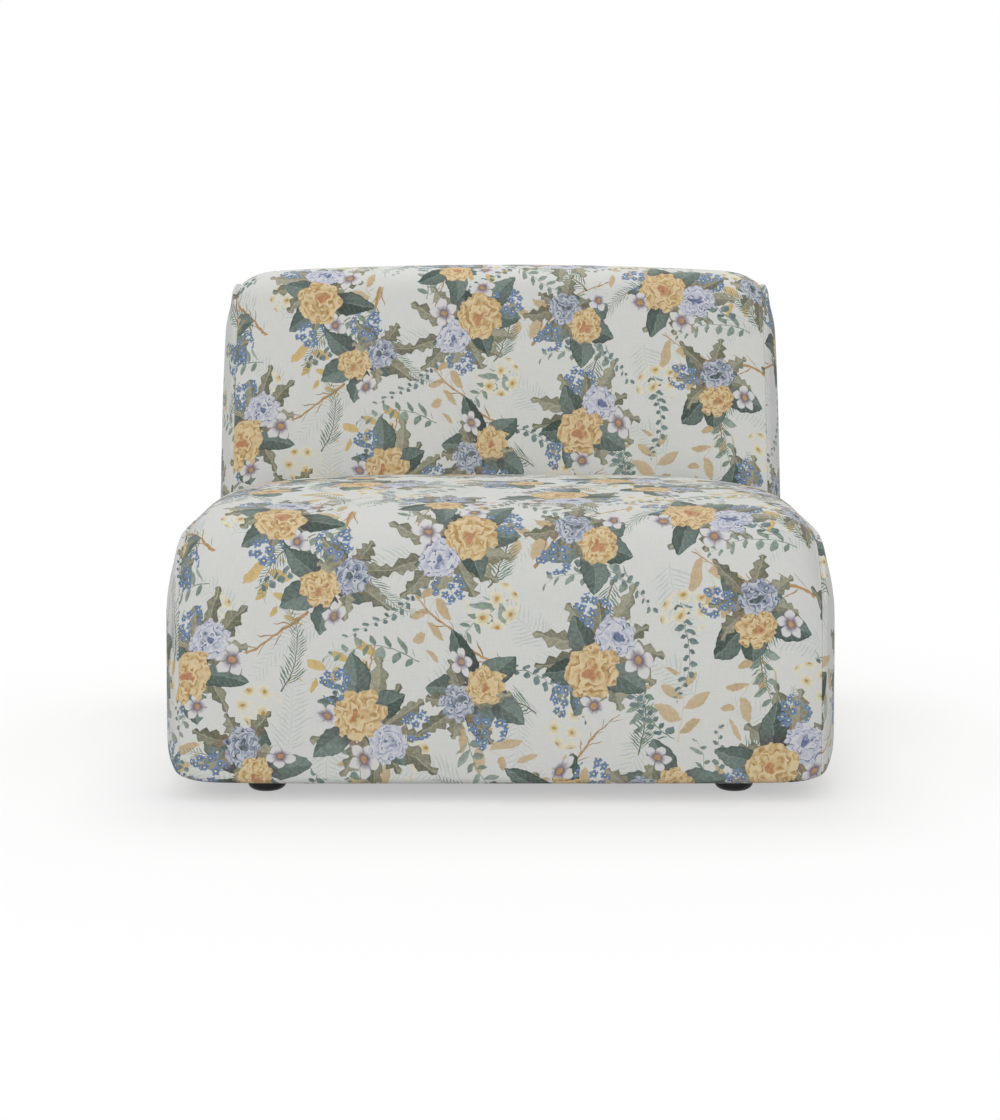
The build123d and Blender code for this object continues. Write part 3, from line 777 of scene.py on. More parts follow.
def drawing(name, wanted, given, kind="ShaderNodeTree"):
    """A node group with inputs and outputs, each kind with its titles: its tree and what comes in."""
    tree = bpy.data.node_groups.new(name, kind)
    for direction, sockets in (("INPUT", wanted), ("OUTPUT", given)):
        for socket_kind, titles in sockets:
            for title in titles.split():
                tree.interface.new_socket(title, in_out=direction, socket_type=socket_kind)
    comes_in = tree.nodes.new("NodeGroupInput")
    tree.nodes.new("NodeGroupOutput")
    return tree, Flow(tree, comes_in.outputs[0])


def hand_out(tree, **flows):
    """Links a drawing's results to its outputs."""
    goes_out = next(node for node in tree.nodes if node.type == "GROUP_OUTPUT")
    for title, flow in flows.items():
        tree.links.new(flow.socket, goes_out.inputs[title])


scatter, give = drawing(
    "scatter",
    [(vector, "Cloth"), (scalar, "Pitch Jitter"), (vector, "Shift"), (scalar, "Lattice Spin")],
    [(vector, "Spot Chance")],
)
lattice = add(scatter, ROTATE, about_z, {"Vector": give["Cloth"], "Angle": give["Lattice"]})
shifted = lattice + give["Shift"]
places = add(scatter, "ShaderNodeTexVoronoi", {"voronoi_dimensions": "2D"},
             {"Vector": shifted, "Scale": 1 / give["Pitch"], "Randomness": give["Jitter"]})
local = shifted - places["Position"]
chance = add(scatter, "ShaderNodeRGBToBW", None, (places["Color"],))
spot = add(scatter, ROTATE, about_z, {"Vector": local, "Angle": chance * give["Spin"]})
hand_out(scatter, Spot=spot, Chance=places["Color"])

# %% [markdown]
# A sprig is a bent stem with pairs of leaflets. Folding the cloth along the stem makes both sides one, and
# the remainder of the distance along it, divided by the pitch of the leaflets, makes all leaflets one. So
# a whole sprig costs as much as one leaflet.

# %% A sprig
sprig, give = drawing(
    "sprig",
    [(vector, "Spot"), (scalar, "Length Pitch Leaf Width Bend Slant Stalk Seed"),
     (colour, "Light Dark Stem")],
    colour_and_mask,
)
side_stagger = 0.25
bare_root = 0.04
tip_leaf = 0.42
tip_stem = 0.3
shortest, longest = 0.62, 1.15
tone_swing = 0.7
spot_x, spot_y = give["Spot"].along(x_axis), give["Spot"].along(y_axis)
off_stem = spot_y - spot_x * spot_x * give["Bend"]
aside = abs(off_stem)
root = spot_x - aside * give["Slant"]
side = off_stem.by("SIGN")
stagger = side * side_stagger
count = root / give["Pitch"] + stagger
number = count.by("FLOOR")
within = count - number - 0.5
across = abs(within * give["Pitch"])
half_length = give["Length"] / 2
back_end = half_length * -1
root_share = root.ranged(back_end, half_length, clamp=False)
taper = root_share.ranged(0, 1, 1, tip_leaf)
started = root_share.by("GREATER_THAN", bare_root)
ended = root_share.by("LESS_THAN", 1)
draw = add(sprig, XYZ, None, (number, side, give["Seed"]))
lots = add(sprig, WHITE_NOISE, in_space, {"Vector": draw})
taper = taper * lots["Value"].ranged(0, 1, shortest, longest)
share = aside / (taper * give["Leaf"])
belly = share * (1 - share) * 4 * give["Width"] * taper
leaf_mask = (belly - across).eased(-0.35, 0.45) * started * ended
tone = lots["Value"].by("MULTIPLY_ADD", tone_swing, within * tone_swing)
leaf_colour = tone.between(give["Dark"], give["Light"])
stem_share = spot_x.ranged(back_end, half_length, clamp=False)
stem_half = stem_share.ranged(0, 1, 1, tip_stem) * give["Stalk"]
stem_mask = (stem_half - aside).eased(-0.3, 0.4)
started = stem_share.by("GREATER_THAN", 0)
ended = stem_share.by("LESS_THAN", 1)
stem_mask = stem_mask * started * ended
whole_mask = leaf_mask.by("MAXIMUM", stem_mask)
hand_out(sprig, Color=stem_mask.between(leaf_colour, give["Stem"]), Mask=whole_mask)

# %% [markdown]
# Leaves fan out from behind a bouquet. The angle around its middle, cut into equal sectors, gives each
# leaf its own share of the circle, and a lot drawn for each sector gives it a length, a lean and a tone of
# its own. An odd number of leaves keeps the cut at the back of the circle between two of them. Their roots
# sink into a brown shade, which sets the blossoms off from them.

# %% A fan of leaves
fan, give = drawing(
    "fan of leaves",
    [(vector, "Spot"), (scalar, "Leaves Length Width Lobes"), (vector, "Seed"), (colour, "Light Dark Root")],
    colour_and_mask,
)
most_lean = 0.2
shortest = 0.62
lobe_pitch, lobe_depth = 0.09, 11
vein_pitch = 4.6
line_width = 1.3
rim_width = 3
tone_swing = 0.55
spot_x, spot_y = give["Spot"].along(x_axis), give["Spot"].along(y_axis)
reach = give["Spot"].length()
bearing = spot_y.by("ARCTAN2", spot_x)
sectors = give["Leaves"] / full_turn
bearing = bearing * sectors
number = bearing.by("ROUND")
lean = bearing - number
draw = give["Seed"] + add(fan, XYZ, None, (number, number, number))
lots = add(fan, WHITE_NOISE, in_space, {"Vector": draw})
lot = add(fan, "ShaderNodeSeparateColor", None, (lots["Color"],))
lean = (lean + lot["Red"].ranged(0, 1, -most_lean, most_lean)) / sectors
cosine, sine = lean.by("COSINE"), lean.by("SINE")
along, across = reach * cosine, reach * sine
aside = abs(across)
leaf_length = lot["Green"].ranged(0, 1, shortest, 1) * give["Length"]
share = along / leaf_length
belly = share * (1 - share) * 4
wave = share.by("PINGPONG", lobe_pitch) * give["Lobes"]
inside = wave.by("MULTIPLY_ADD", -lobe_depth, belly) * give["Width"] - aside
leaf_mask = inside.eased(-0.3, 0.5)
vein = (along - aside).by("PINGPONG", vein_pitch).eased(line_width, 0, 0, 0.3)
rib = aside.eased(line_width, 0.2, 0, 0.7)
lines = vein.by("MAXIMUM", rib)
lit_side = across.eased(-rim_width, rim_width, 0, 0.42)
tone = lot["Blue"].by("MULTIPLY_ADD", tone_swing, lit_side)
tone = tone - inside.eased(rim_width, 0, 0, 0.35) + lines
painted = tone.between(give["Dark"], give["Light"])
deep = share.eased(0.62, 0.28, 0, 0.8) * lot["Red"]
hand_out(fan, Color=deep.between(painted, give["Root"]), Mask=leaf_mask)

# %% [markdown]
# A full blossom is one band of petals wound round its heart. The distance from the middle, less the turn
# around it, counts the windings, and what is left of the count shades a petal from its foot, in the dark,
# to its lit rim. Noise added to the count breaks the windings into petals, as a painter's hand does.

# %% A full blossom
blossom, give = drawing(
    "full blossom",
    [(vector, "Spot"), (scalar, "Radius Windings Stroke Seed"), (colour, "Pale Mid Deep Heart")],
    colour_and_mask,
)
seed_spread = 900
petal_grain, break_grain = 2.6, 4.5
wobble_turns, wobble_heart, wobble_rim = 2.6, 0.9, 0.4
rim_petals = 7
half_fold = 0.5
widest = 0.71
spot_x, spot_y = give["Spot"].along(x_axis), give["Spot"].along(y_axis)
reach = give["Spot"].length() / give["Radius"]
bearing = spot_y.by("ARCTAN2", spot_x) / full_turn
own_place = give["Spot"] + add(blossom, XYZ, None, (give["Seed"] * seed_spread,))
wobble = add(blossom, NOISE, on_cloth,
             {"Vector": own_place, "Scale": petal_grain / give["Radius"], "Detail": 1}) - 0.5
breaks = add(blossom, NOISE, on_cloth,
             {"Vector": own_place, "Scale": break_grain / give["Radius"], "Detail": 2})
count = wobble.by("MULTIPLY_ADD", wobble_turns, reach * give["Windings"] - bearing)
within = count - count.by("FLOOR")
foot = within.eased(give["Stroke"], 0) * breaks.eased(0.36, 0.58)
pale = within.eased(0.2, 0.95)
painted = pale.between(give["Mid"], give["Pale"])
painted = foot.between(painted, give["Deep"])
middle = wobble.by("MULTIPLY_ADD", wobble_heart, reach).eased(0.3, 0.1, 0, 0.8)
painted = middle.between(painted, give["Heart"])
petals = bearing.by("MULTIPLY_ADD", rim_petals, give["Seed"])
bulge = petals.by("PINGPONG", half_fold).by("POWER", 0.5)
inside = wobble.by("MULTIPLY_ADD", wobble_rim, bulge.ranged(0, widest, 0.82, 1)) - reach
cover = inside.eased(-0.01, 0.02)
edge = inside.eased(0.09, 0, 0, 0.5)
hand_out(blossom, Color=edge.between(painted, give["Mid"]), Mask=cover)

# %% [markdown]
# An open flower is a ring of rounded petals round an eye. Folding the angle around it at each petal's middle
# makes all petals one, and its blotch fades outwards from the eye.

# %% A small open flower
flower, give = drawing(
    "open flower",
    [(vector, "Spot"), (scalar, "Radius Petals Blotch"), (colour, "Petal Shade Heart")],
    colour_and_mask,
)
spot_x, spot_y = give["Spot"].along(x_axis), give["Spot"].along(y_axis)
reach = give["Spot"].length() / give["Radius"]
bearing = spot_y.by("ARCTAN2", spot_x) / full_turn * give["Petals"]
fold = bearing.by("PINGPONG", half_fold)
rim = fold.by("POWER", 0.5).ranged(0, widest, 0.48, 1)
cover = (rim - reach).eased(-0.03, 0.05)
tone = reach.eased(0.18, give["Blotch"]) * fold.eased(0, 0.14, 0.35, 1)
painted = tone.between(give["Shade"], give["Petal"])
eye = reach.eased(0.26, 0.16)
hand_out(flower, Color=eye.between(painted, give["Heart"]), Mask=cover)
print("motifs", [group.name for group in (scatter, sprig, fan, blossom, flower)])

# %% [markdown]
# The print is laid down like paint, from the palest ferns up to the blossoms, each motif mixed over what
# lies under it. A little noise bends the cloth's coordinates first, so that no edge looks ruled.

# %% The printed cloth
cloth_material, tree = material("linen weave cotton, printed and matt")
flat = add(tree, "ShaderNodeUVMap", {"uv_map": "cloth"})
flat = add(tree, VECTORS, {"operation": "SCALE"}, {0: flat, "Scale": 1 / mm})


def bent(cloth, grain, reach):
    """The cloth's coordinates, bent by noise of a grain and a reach in millimetres."""
    noise = add(tree, NOISE, on_cloth, {"Vector": cloth, "Scale": 1 / grain, "Detail": 1})
    return cloth + (noise["Color"] - (0.5, 0.5, 0.5)) * (reach, reach, 0)


drawn = bent(bent(flat, 90, 20), 11, 4.4)
print_colour = add(tree, "ShaderNodeRGB")
print_colour.socket.default_value = linear("#D9DAD6")


def use(group, **values):
    """A drawing, put to use with values for its inputs."""
    return add(tree, "ShaderNodeGroup", {"node_tree": group}, values)


def laid(below, motif, share=1):
    """A motif's colour, mixed over what is below by its mask."""
    mask = motif["Mask"] if share == 1 else motif["Mask"] * share
    return mask.between(below, motif["Color"])


def spots(pitch, jitter, shift, lattice_degrees, cloth=drawn):
    """Places scattered over the cloth: how each point lies from its place, and the place's lots."""
    placed = use(scatter, Cloth=cloth, Pitch=pitch, Jitter=jitter, Shift=(*shift, 0),
                 Lattice=math.radians(lattice_degrees), Spin=full_turn)
    chance = placed["Chance"]
    return placed["Spot"], chance, (chance.along(y_axis), chance.along(z_axis))


def moved(spot, x, y):
    """How each point lies from another place, x and y millimetres from the first."""
    return spot - (x, y, 0)


def chosen(lot, first, second):
    """One of two colours, by a lot."""
    return lot.by("GREATER_THAN", 0.5).between(first, second)


def sprigs(below, pitch, jitter, shift, lattice_degrees, sizes, tones, share=1):
    """Sprigs scattered over the cloth, by their sizes and in a light, a dark and a stem tone."""
    spot, _, lots = spots(pitch, jitter, shift, lattice_degrees)
    light, dark, stem = tones
    if isinstance(light, tuple):
        light, dark = chosen(lots[1], *light), chosen(lots[1], *dark)
    sized = dict(zip(("Length", "Pitch", "Leaf", "Width", "Bend", "Slant", "Stalk"), sizes))
    made = use(sprig, Spot=spot, Seed=lots[0], Light=light, Dark=dark, Stem=stem, **sized)
    return laid(below, made, share)


# %% [markdown]
# Loose sprigs lie under everything else. Each row is one kind: the pitch, jitter, shift and turn of its
# places, its sizes, its light, dark and stem tones, and how well it covers what is below.

# %% Ferns, leaves and twigs of the print
for scattering in (
    (128, 0.75, (40, 15), 20, (130, 7, 30, 1.9, 0.002, 0.7, 0.8), ("#C7CCC7", "#BEC7C1", "#C3CAC4"), 0.8),
    (176, 0.6, (-30, 90), -35, (118, 36, 46, 13.5, 0.003, 0.7, 0.9),
     (("#D8BE88", "#CFBC9C"), ("#CBAE72", "#C2AA84"), "#D6CDB0"), 0.95),
    (196, 0.65, (110, -60), 50, (190, 27, 19, 2.1, -0.0024, 1.5, 2.5), ("#BE9C72", "#A08565", "#B8946A")),
    (184, 0.65, (20, 131), -18, (128, 19, 25, 7, 0.0036, 0.5, 0.9), ("#A6B1A6", "#7C8E82", "#8A968A")),
    (172, 0.65, (-80, -120), 10, (122, 5.2, 21, 1.7, 0.005, 1, 1.3), ("#8CA294", "#5F7263", "#77785C")),
    (190, 0.65, (60, 170), -60, (170, 14, 16, 6, -0.003, 0.3, 0.8), ("#8B9C9A", "#66797A", "#878F86")),
):
    print_colour = sprigs(print_colour, *scattering)

# %% [markdown]
# Small flowers come in bunches. Inside a round patch a second, finer scatter sets them close together, and
# a lot leaves some of its places empty, so that the bunch has a loose edge.

# %% Bunches and bouquets of the print
petal_count = 5
bunch_jitter = 0.5
bunch_shift = (3, 4)
bunch_gaps = 0.2
bunch_fill = 0.54


def bunch(below, spot, patch, pitch, tones, blotch=0.6):
    """Small flowers, scattered close together over a round patch, in petal, shade and heart tones."""
    inner, _, lots = spots(pitch, bunch_jitter, bunch_shift, 0, spot)
    near = spot.length().by("LESS_THAN", patch)
    shown = near * lots[0].by("GREATER_THAN", bunch_gaps)
    tiny = use(flower, Spot=inner, Radius=bunch_fill * pitch, Petals=petal_count, Blotch=blotch,
               Petal=tones[0], Shade=tones[1], Heart=tones[2])
    return laid(below, tiny, shown)


def leaves(below, spot, seed, count, length, width, lobes, tones):
    """A fan of leaves behind a bouquet, in a light, a dark and a root tone."""
    made = use(fan, Spot=spot, Leaves=count, Length=length, Width=width, Lobes=lobes, Seed=seed,
               Light=tones[0], Dark=tones[1], Root=tones[2])
    return laid(below, made)


def rose(below, spot, seed, radius, windings, stroke, tones):
    """A full blossom, in pale, middle and deep tones with a heart."""
    made = use(blossom, Spot=spot, Radius=radius, Windings=windings, Stroke=stroke, Seed=seed,
               Pale=tones[0], Mid=tones[1], Deep=tones[2], Heart=tones[3])
    return laid(below, made)


def pansy(below, spot, radius):
    """A white flower with plum blotches."""
    made = use(flower, Spot=spot, Radius=radius, Petals=petal_count, Blotch=pansy_blotch,
               Petal=pansy_tones[0], Shade=pansy_tones[1], Heart=pansy_tones[2])
    return laid(below, made)


sage_tones = ("#AAA793", "#6E705F", "#8B755E")
dark_tones = ("#818F89", "#48564F", "#4E3F45")
cream_tones = ("#DFCBA4", "#D0B585", "#B08B59", "#BA7D5C")
blue_tones = ("#D6D7DB", "#BCC0CE", "#485786", "#4C5C89")
dusk_tones = ("#C8CBD1", "#929CAE", "#404F63", "#42524F")
tiny_tones = ("#7C93B4", "#4F6C97", "#DDD49C")
straw_tones = ("#E2DCC6", "#CFC29C", "#C29A55")
pansy_tones = ("#D9D8D8", "#7B6C7C", "#BA9670")
pansy_blotch = 0.62
deep_lobes, faint_lobes = 0.42, 0.05
tiny_pitch = 13
bouquet_pitch = 262
bouquet_jitter = 0.3
bouquet_lattice = 28

spot, _, _ = spots(205, 0.6, (10, 55), 33)
print_colour = bunch(print_colour, spot, 34, 25, straw_tones, 0.7)

spot, chance, lots = spots(bouquet_pitch, bouquet_jitter, (0, 0), bouquet_lattice)
print_colour = leaves(print_colour, moved(spot, -14, 6), chance, 11, 116, 17, deep_lobes, sage_tones)
print_colour = leaves(print_colour, moved(spot, 16, -6), moved(chance, 3, 7), 5, 104, 20, faint_lobes,
                      dark_tones)
print_colour = bunch(print_colour, moved(spot, -66, -22), 26, tiny_pitch, tiny_tones)
print_colour = bunch(print_colour, moved(spot, 64, -38), 25, tiny_pitch, tiny_tones)
print_colour = pansy(print_colour, moved(spot, -6, 52), 25)
print_colour = pansy(print_colour, moved(spot, 66, 8), 21)
print_colour = rose(print_colour, moved(spot, -34, 18), lots[0], 32, 2.8, 0.3, blue_tones)
print_colour = rose(print_colour, moved(spot, 20, -8), lots[1], 40, 2.4, 0.62, cream_tones)

between_bouquets = (bouquet_pitch / 2, bouquet_pitch / 2)
spot, chance, lots = spots(bouquet_pitch, bouquet_jitter, between_bouquets, bouquet_lattice)
print_colour = leaves(print_colour, moved(spot, -12, 8), chance, 5, 92, 21, faint_lobes, dark_tones)
print_colour = leaves(print_colour, moved(spot, 14, -14), moved(chance, 5, 2), 7, 84, 14, deep_lobes,
                      sage_tones)
print_colour = bunch(print_colour, moved(spot, 46, 26), 27, tiny_pitch, tiny_tones)
print_colour = pansy(print_colour, moved(spot, -46, -26), 20)
print_colour = rose(print_colour, moved(spot, 12, -20), lots[0], 29, 2.6, 0.36, dusk_tones)
print_colour = rose(print_colour, moved(spot, -20, 14), lots[1], 30, 2.2, 0.6, cream_tones)

# %% [markdown]
# The weave itself is too fine to see from three metres: half a millimetre from thread to thread. It is
# drawn three times as coarse, as slubs that run both ways, so that it shows as a faint grain. A brush lets
# the colour of the motifs pool and thin, and leaves the bare ground alone, which it tells by its lightness.

# %% Weave and finish
thread = 1.5
slub = 22
brush_width = 6
weave_contrast = 0.04
grains = [
    add(tree, NOISE, on_cloth, {"Vector": flat * scale, "Scale": 1, "Detail": 2})
    for scale in ((1 / thread, 1 / slub, 1), (1 / slub, 1 / thread, 1))
]
weave = grains[0] + grains[1]
tint = weave.ranged(0.6, 1.4, 1 - weave_contrast, 1 + weave_contrast)
brush = add(tree, NOISE, on_cloth, {"Vector": flat, "Scale": 1 / brush_width, "Detail": 3, "Roughness": 0.6})
brushed = brush.ranged(0.3, 0.7, 0.76, 1.16)
inked = add(tree, "ShaderNodeRGBToBW", None, (print_colour,)).ranged(0.62, 0.3)
tint = tint * add(tree, MIX, None, {0: inked, 2: 1, 3: brushed})
print_colour = add(tree, VECTORS, {"operation": "SCALE"}, {0: print_colour, "Scale": tint})
relief = add(tree, BUMP, None, {"Strength": 0.12, "Distance": 0.6 * mm, "Height": weave})
coat(tree, {"Base Color": print_colour, "Roughness": 0.86, "Specular IOR Level": 0.3, "Sheen Weight": 0.08,
            "Sheen Roughness": 0.5, "Normal": relief})
print("the print has", len(tree.nodes), "nodes and groups")

# %% [markdown]
# The six panels take the printed cloth and one step of subdivision, which rounds their seams. Each
# takes the place of the imported cover it was measured from.

# %% Covers, dressed
for piece in covers:
    piece.data.materials.append(cloth_material)
    finish = piece.modifiers.new("finish", "SUBSURF")
    finish.levels = 1
    finish.render_levels = 1
    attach(piece, "sofa")
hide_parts("base_wrap_cover")
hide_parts("back_wrap_cover")
for word in sides:
    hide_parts(f"base_side_panel_{word}")
    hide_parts(f"back_side_panel_{word}")

# %% [markdown]
# The feet are squat discs of moulded plastic, turned in the mould: a soft lower edge, a shadow groove under
# the frame, and a well for the screw from below. A profile of points, carried round its axis, makes the
# whole closed form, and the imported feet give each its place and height.

# %% Feet
foot_steps = 72


def lathed(name, profile, x, y):
    """A closed form of revolution from a closed profile of radius and height."""
    count = len(profile)
    points = []
    for step in range(foot_steps):
        turn = full_turn * step / foot_steps
        points += [(x + r * math.cos(turn), y + r * math.sin(turn), z) for r, z in profile]
    faces = []
    for step in range(foot_steps):
        here, there = step * count, (step + 1) % foot_steps * count
        for i in range(count):
            after = (i + 1) % count
            faces.append((here + i, there + i, there + after, here + after))
    return mesh_piece(name, points, faces)


foot_low, foot_high = (Vector(corner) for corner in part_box("foot_front_left"))
foot_radius = (foot_high.x - foot_low.x) / 2
foot_top = foot_high.z
edge_run = 15 * mm
edge_rise = 11 * mm
edge_steps = 10
edge_turns = [math.radians(90 * i / edge_steps) for i in range(edge_steps + 1)]
well_radius = 7.5 * mm
well_top = 14 * mm
well_rim = 0.8 * mm
screw_hole = 3.05 * mm
screw_clearance = 0.2 * mm
groove_steps = ((0, 7), (0.3, 6.4), (1.2, 6), (1.2, 5), (0.3, 4.6), (0.4, 2), (2, 0.2))
profile = [(screw_hole, foot_top - screw_clearance), (screw_hole, well_top), (well_radius, well_top)]
profile += [(well_radius, well_rim), (well_radius + well_rim, 0)]
profile += [
    (foot_radius - edge_run + edge_run * math.sin(a), edge_rise - edge_rise * math.cos(a))
    for a in edge_turns
]
profile += [(foot_radius - deep * mm, foot_top - down * mm) for deep, down in groove_steps]
feet = {}
for spot_name in ("front_left", "front_right", "rear_left", "rear_right"):
    node = f"foot_{spot_name}"
    low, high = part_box(node)
    feet[node] = lathed(f"moulded_{node}", profile, (low[0] + high[0]) / 2, (low[1] + high[1]) / 2)
for piece in feet.values():
    face_outwards(piece)
print("feet", list(feet), "radius", round(foot_radius, 4), "m")

# %% [markdown]
# The dust cloth is a thin spun fleece, stapled under the frame to keep dust out and the springs out of
# sight. Between the rails it hangs by a few millimetres. It is cut smaller than the frame, so that the
# covers' hems show around it. Its staples are made by Geometry Nodes: one bent wire, set along a rectangle
# at an even pitch, each a little askew as a hand-held stapler leaves them.

# %% Dust cloth
dust_margin = 16 * mm
dust_step = 14 * mm
dust_sag = 2.6 * mm
dust_lift = 0.3 * mm
stapled_band = 40 * mm
hang_reach = 90 * mm
ripple_depth = 0.25
across_wave, across_skew, along_wave, along_skew = 23, 4, 17, 3
dust_start = Vector((dust_low.x + dust_margin, dust_low.y + dust_margin))
dust_end = Vector((dust_high.x - dust_margin, dust_high.y - dust_margin))
dust_size = dust_end - dust_start
across_count, along_count = (round(length / dust_step) for length in dust_size)
points = []
for j in range(along_count + 1):
    for i in range(across_count + 1):
        spot = Vector((i / across_count, j / along_count))
        edge = min(spot.x, 1 - spot.x) * dust_size.x, min(spot.y, 1 - spot.y) * dust_size.y
        hang = min(1, max(0, min(edge) - stapled_band) / hang_reach)
        ripple = math.sin(across_wave * spot.x + across_skew * spot.y)
        ripple = ripple * math.sin(along_wave * spot.y - along_skew * spot.x)
        sag = dust_sag * hang * hang * (3 - 2 * hang) * (1 - ripple_depth + ripple_depth * ripple)
        points.append((dust_start.x + spot.x * dust_size.x, dust_start.y + spot.y * dust_size.y,
                       dust_low.z + dust_lift - sag))
row = across_count + 1
faces = [
    (j * row + i, (j + 1) * row + i, (j + 1) * row + i + 1, j * row + i + 1)
    for j in range(along_count)
    for i in range(across_count)
]
dust = mesh_piece("dust_cloth_stapled", points, faces)
print("dust cloth", [round(v, 3) for v in dust_size], "m,", len(faces), "faces")

# %% Staples
SET_MATERIAL = "GeometryNodeSetMaterial"
whole_number = "NodeSocketInt"
finish_socket = "NodeSocketMaterial"
geometry = [("NodeSocketGeometry", "Geometry")]
staples, give = drawing(
    "staples",
    [(scalar, "Width Length Pitch Crown Wire Askew"), (whole_number, "Seed"), (vector, "Place"),
     (finish_socket, "Finish")],
    geometry,
    "GeometryNodeTree",
)
crown_rise = 1.6
half_crown = give["Crown"] / 2
other_half = half_crown * -1
end = add(staples, XYZ, None, (half_crown, 0, 0))
start = add(staples, XYZ, None, (other_half, 0, 0))
rise = give["Wire"] * -crown_rise
end_handle = add(staples, XYZ, None, (half_crown, 0, rise))
start_handle = add(staples, XYZ, None, (other_half, 0, rise))
crown = add(staples, "GeometryNodeCurvePrimitiveBezierSegment", None,
            {"Resolution": 8, "Start": start, "Start Handle": start_handle, "End Handle": end_handle,
             "End": end})
section = add(staples, "GeometryNodeCurvePrimitiveCircle", None,
              {"Resolution": 6, "Radius": give["Wire"] / 2})
staple = add(staples, "GeometryNodeCurveToMesh", None,
             {"Curve": crown, "Profile Curve": section, "Fill Caps": True})
border = add(staples, "GeometryNodeCurvePrimitiveQuadrilateral", None,
             {"Width": give["Width"], "Height": give["Length"]})
along = add(staples, "GeometryNodeCurveToPoints", {"mode": "LENGTH"},
            {"Curve": border, "Length": give["Pitch"]})
facing = add(staples, "FunctionNodeAlignRotationToVector", {"axis": "X"}, {"Vector": along["Tangent"]})
least = give["Askew"] * -1
# a random number's inputs 2, 3 and 8 are its least, its most and its seed
lean = add(staples, "FunctionNodeRandomValue", None, {2: least, 3: give["Askew"], 8: give["Seed"]})
lean = add(staples, XYZ, None, (0, 0, lean))
lean = add(staples, "FunctionNodeEulerToRotation", None, (lean,))
facing = add(staples, "FunctionNodeRotateRotation", {"rotation_space": "LOCAL"}, (facing, lean))
set_out = add(staples, "GeometryNodeInstanceOnPoints", None,
              {"Points": along["Points"], "Instance": staple, "Rotation": facing})
placed = add(staples, "GeometryNodeTransform", None, {"Geometry": set_out, "Translation": give["Place"]})
real = add(staples, "GeometryNodeRealizeInstances", None, (placed,))
finished = add(staples, SET_MATERIAL, None, {"Geometry": real, "Material": give["Finish"]})
hand_out(staples, Geometry=finished)


def grown(name, tree, values):
    """A plain mesh from a Geometry Nodes tree, with values for its named inputs."""
    seedling = bpy.data.objects.new(name, bpy.data.meshes.new(name))
    scene.collection.objects.link(seedling)
    modifier = seedling.modifiers.new("grow", "NODES")
    modifier.node_group = tree
    names = {item.name: item.identifier for item in tree.interface.items_tree if item.in_out == "INPUT"}
    for title, value in values.items():
        modifier[names[title]] = value
    evaluated = seedling.evaluated_get(bpy.context.evaluated_depsgraph_get())
    mesh = bpy.data.meshes.new_from_object(evaluated)
    seedling.modifiers.remove(modifier)
    seedling.data = mesh
    mesh.shade_smooth()
    return seedling


# %% [markdown]
# Metals reflect, so most of what they show comes from the room. Zinc plating is a cold, pale metal with
# faint cloudy crystals, and the clear passivation dulls it a little. Spring wire is drawn hard and leaves the
# works dark, with an oily film that is thicker in some places than in others.

# %% Metals


def metal(name, light, dark, low_gloss, high_gloss, cloud, scratch):
    """A metal finish whose colour and roughness drift in clouds, with drawing marks."""
    made, tree = material(name)
    place = add(tree, "ShaderNodeTexCoord")["Object"]
    clouds = add(tree, NOISE, None, {"Vector": place, "Scale": 1 / cloud, "Detail": 3, "Roughness": 0.6})
    marks = add(tree, NOISE, None, {"Vector": place, "Scale": 1 / scratch, "Detail": 2})
    tone = clouds.eased(0.35, 0.65).between(dark, light)
    gloss = clouds.ranged(0.3, 0.7, high_gloss, low_gloss)
    relief = add(tree, BUMP, None, {"Strength": 0.2, "Distance": 0.3 * mm, "Height": marks})
    coat(tree, {"Base Color": tone, "Metallic": 1, "Roughness": gloss, "Normal": relief})
    return made


zinc = metal("zinc-plated steel, clear passivated", "#C9CBCC", "#A9AEB2", 0.3, 0.46, 9 * mm, 0.7 * mm)
wire = metal("hard-drawn spring wire, oiled", "#6A6865", "#3B3A39", 0.34, 0.55, 22 * mm, 0.9 * mm)

# %% [markdown]
# Wood that nobody sees is planed and left bare. Growth rings run the length of a board as pale and dark
# bands, and fine fibres lie along them. Noise stretched along the board makes both, and each board takes
# the material whose grain runs along its own longest side. Plywood adds its layers, which show as bands on
# its edges only, because there the bands run through its thickness.

# %% Woods
AXES = "XYZ"
ring_length = 420 * mm
fibre_width = 0.9 * mm
fibre_length = 60 * mm
layer_thickness = 1.5 * mm
band_count = 5


def wood(name, grain_axis, light, dark, ring, layer_axis=None):
    """Bare planed wood with its grain along one axis, and plywood's layers across another."""
    made, tree = material(name)
    place = add(tree, "ShaderNodeTexCoord")["Object"]
    ring_scale = [1 / ring] * 3
    fibre_scale = [1 / fibre_width] * 3
    ring_scale[grain_axis] = 1 / ring_length
    fibre_scale[grain_axis] = 1 / fibre_length
    rings = add(tree, NOISE, None, {"Vector": place * ring_scale, "Scale": 1, "Detail": 2, "Distortion": 0.6})
    bands = (rings * band_count).by("PINGPONG", half_fold).eased(0.1, 0.5)
    fibres = add(tree, NOISE, None, {"Vector": place * fibre_scale, "Scale": 1, "Detail": 3})
    share = fibres.by("MULTIPLY_ADD", 0.5, bands) - 0.25
    if layer_axis is not None:
        axis = [0, 0, 0]
        axis[layer_axis] = 1
        layers = (place.along(axis) / layer_thickness).by("PINGPONG", 1)
        share = share - layers.eased(0.4, 0.6, 0, 0.5)
    tone = share.between(dark, light)
    relief = add(tree, BUMP, None, {"Strength": 0.25, "Distance": 0.4 * mm, "Height": fibres})
    coat(tree, {"Base Color": tone, "Roughness": 0.68, "Specular IOR Level": 0.3, "Normal": relief})
    return made


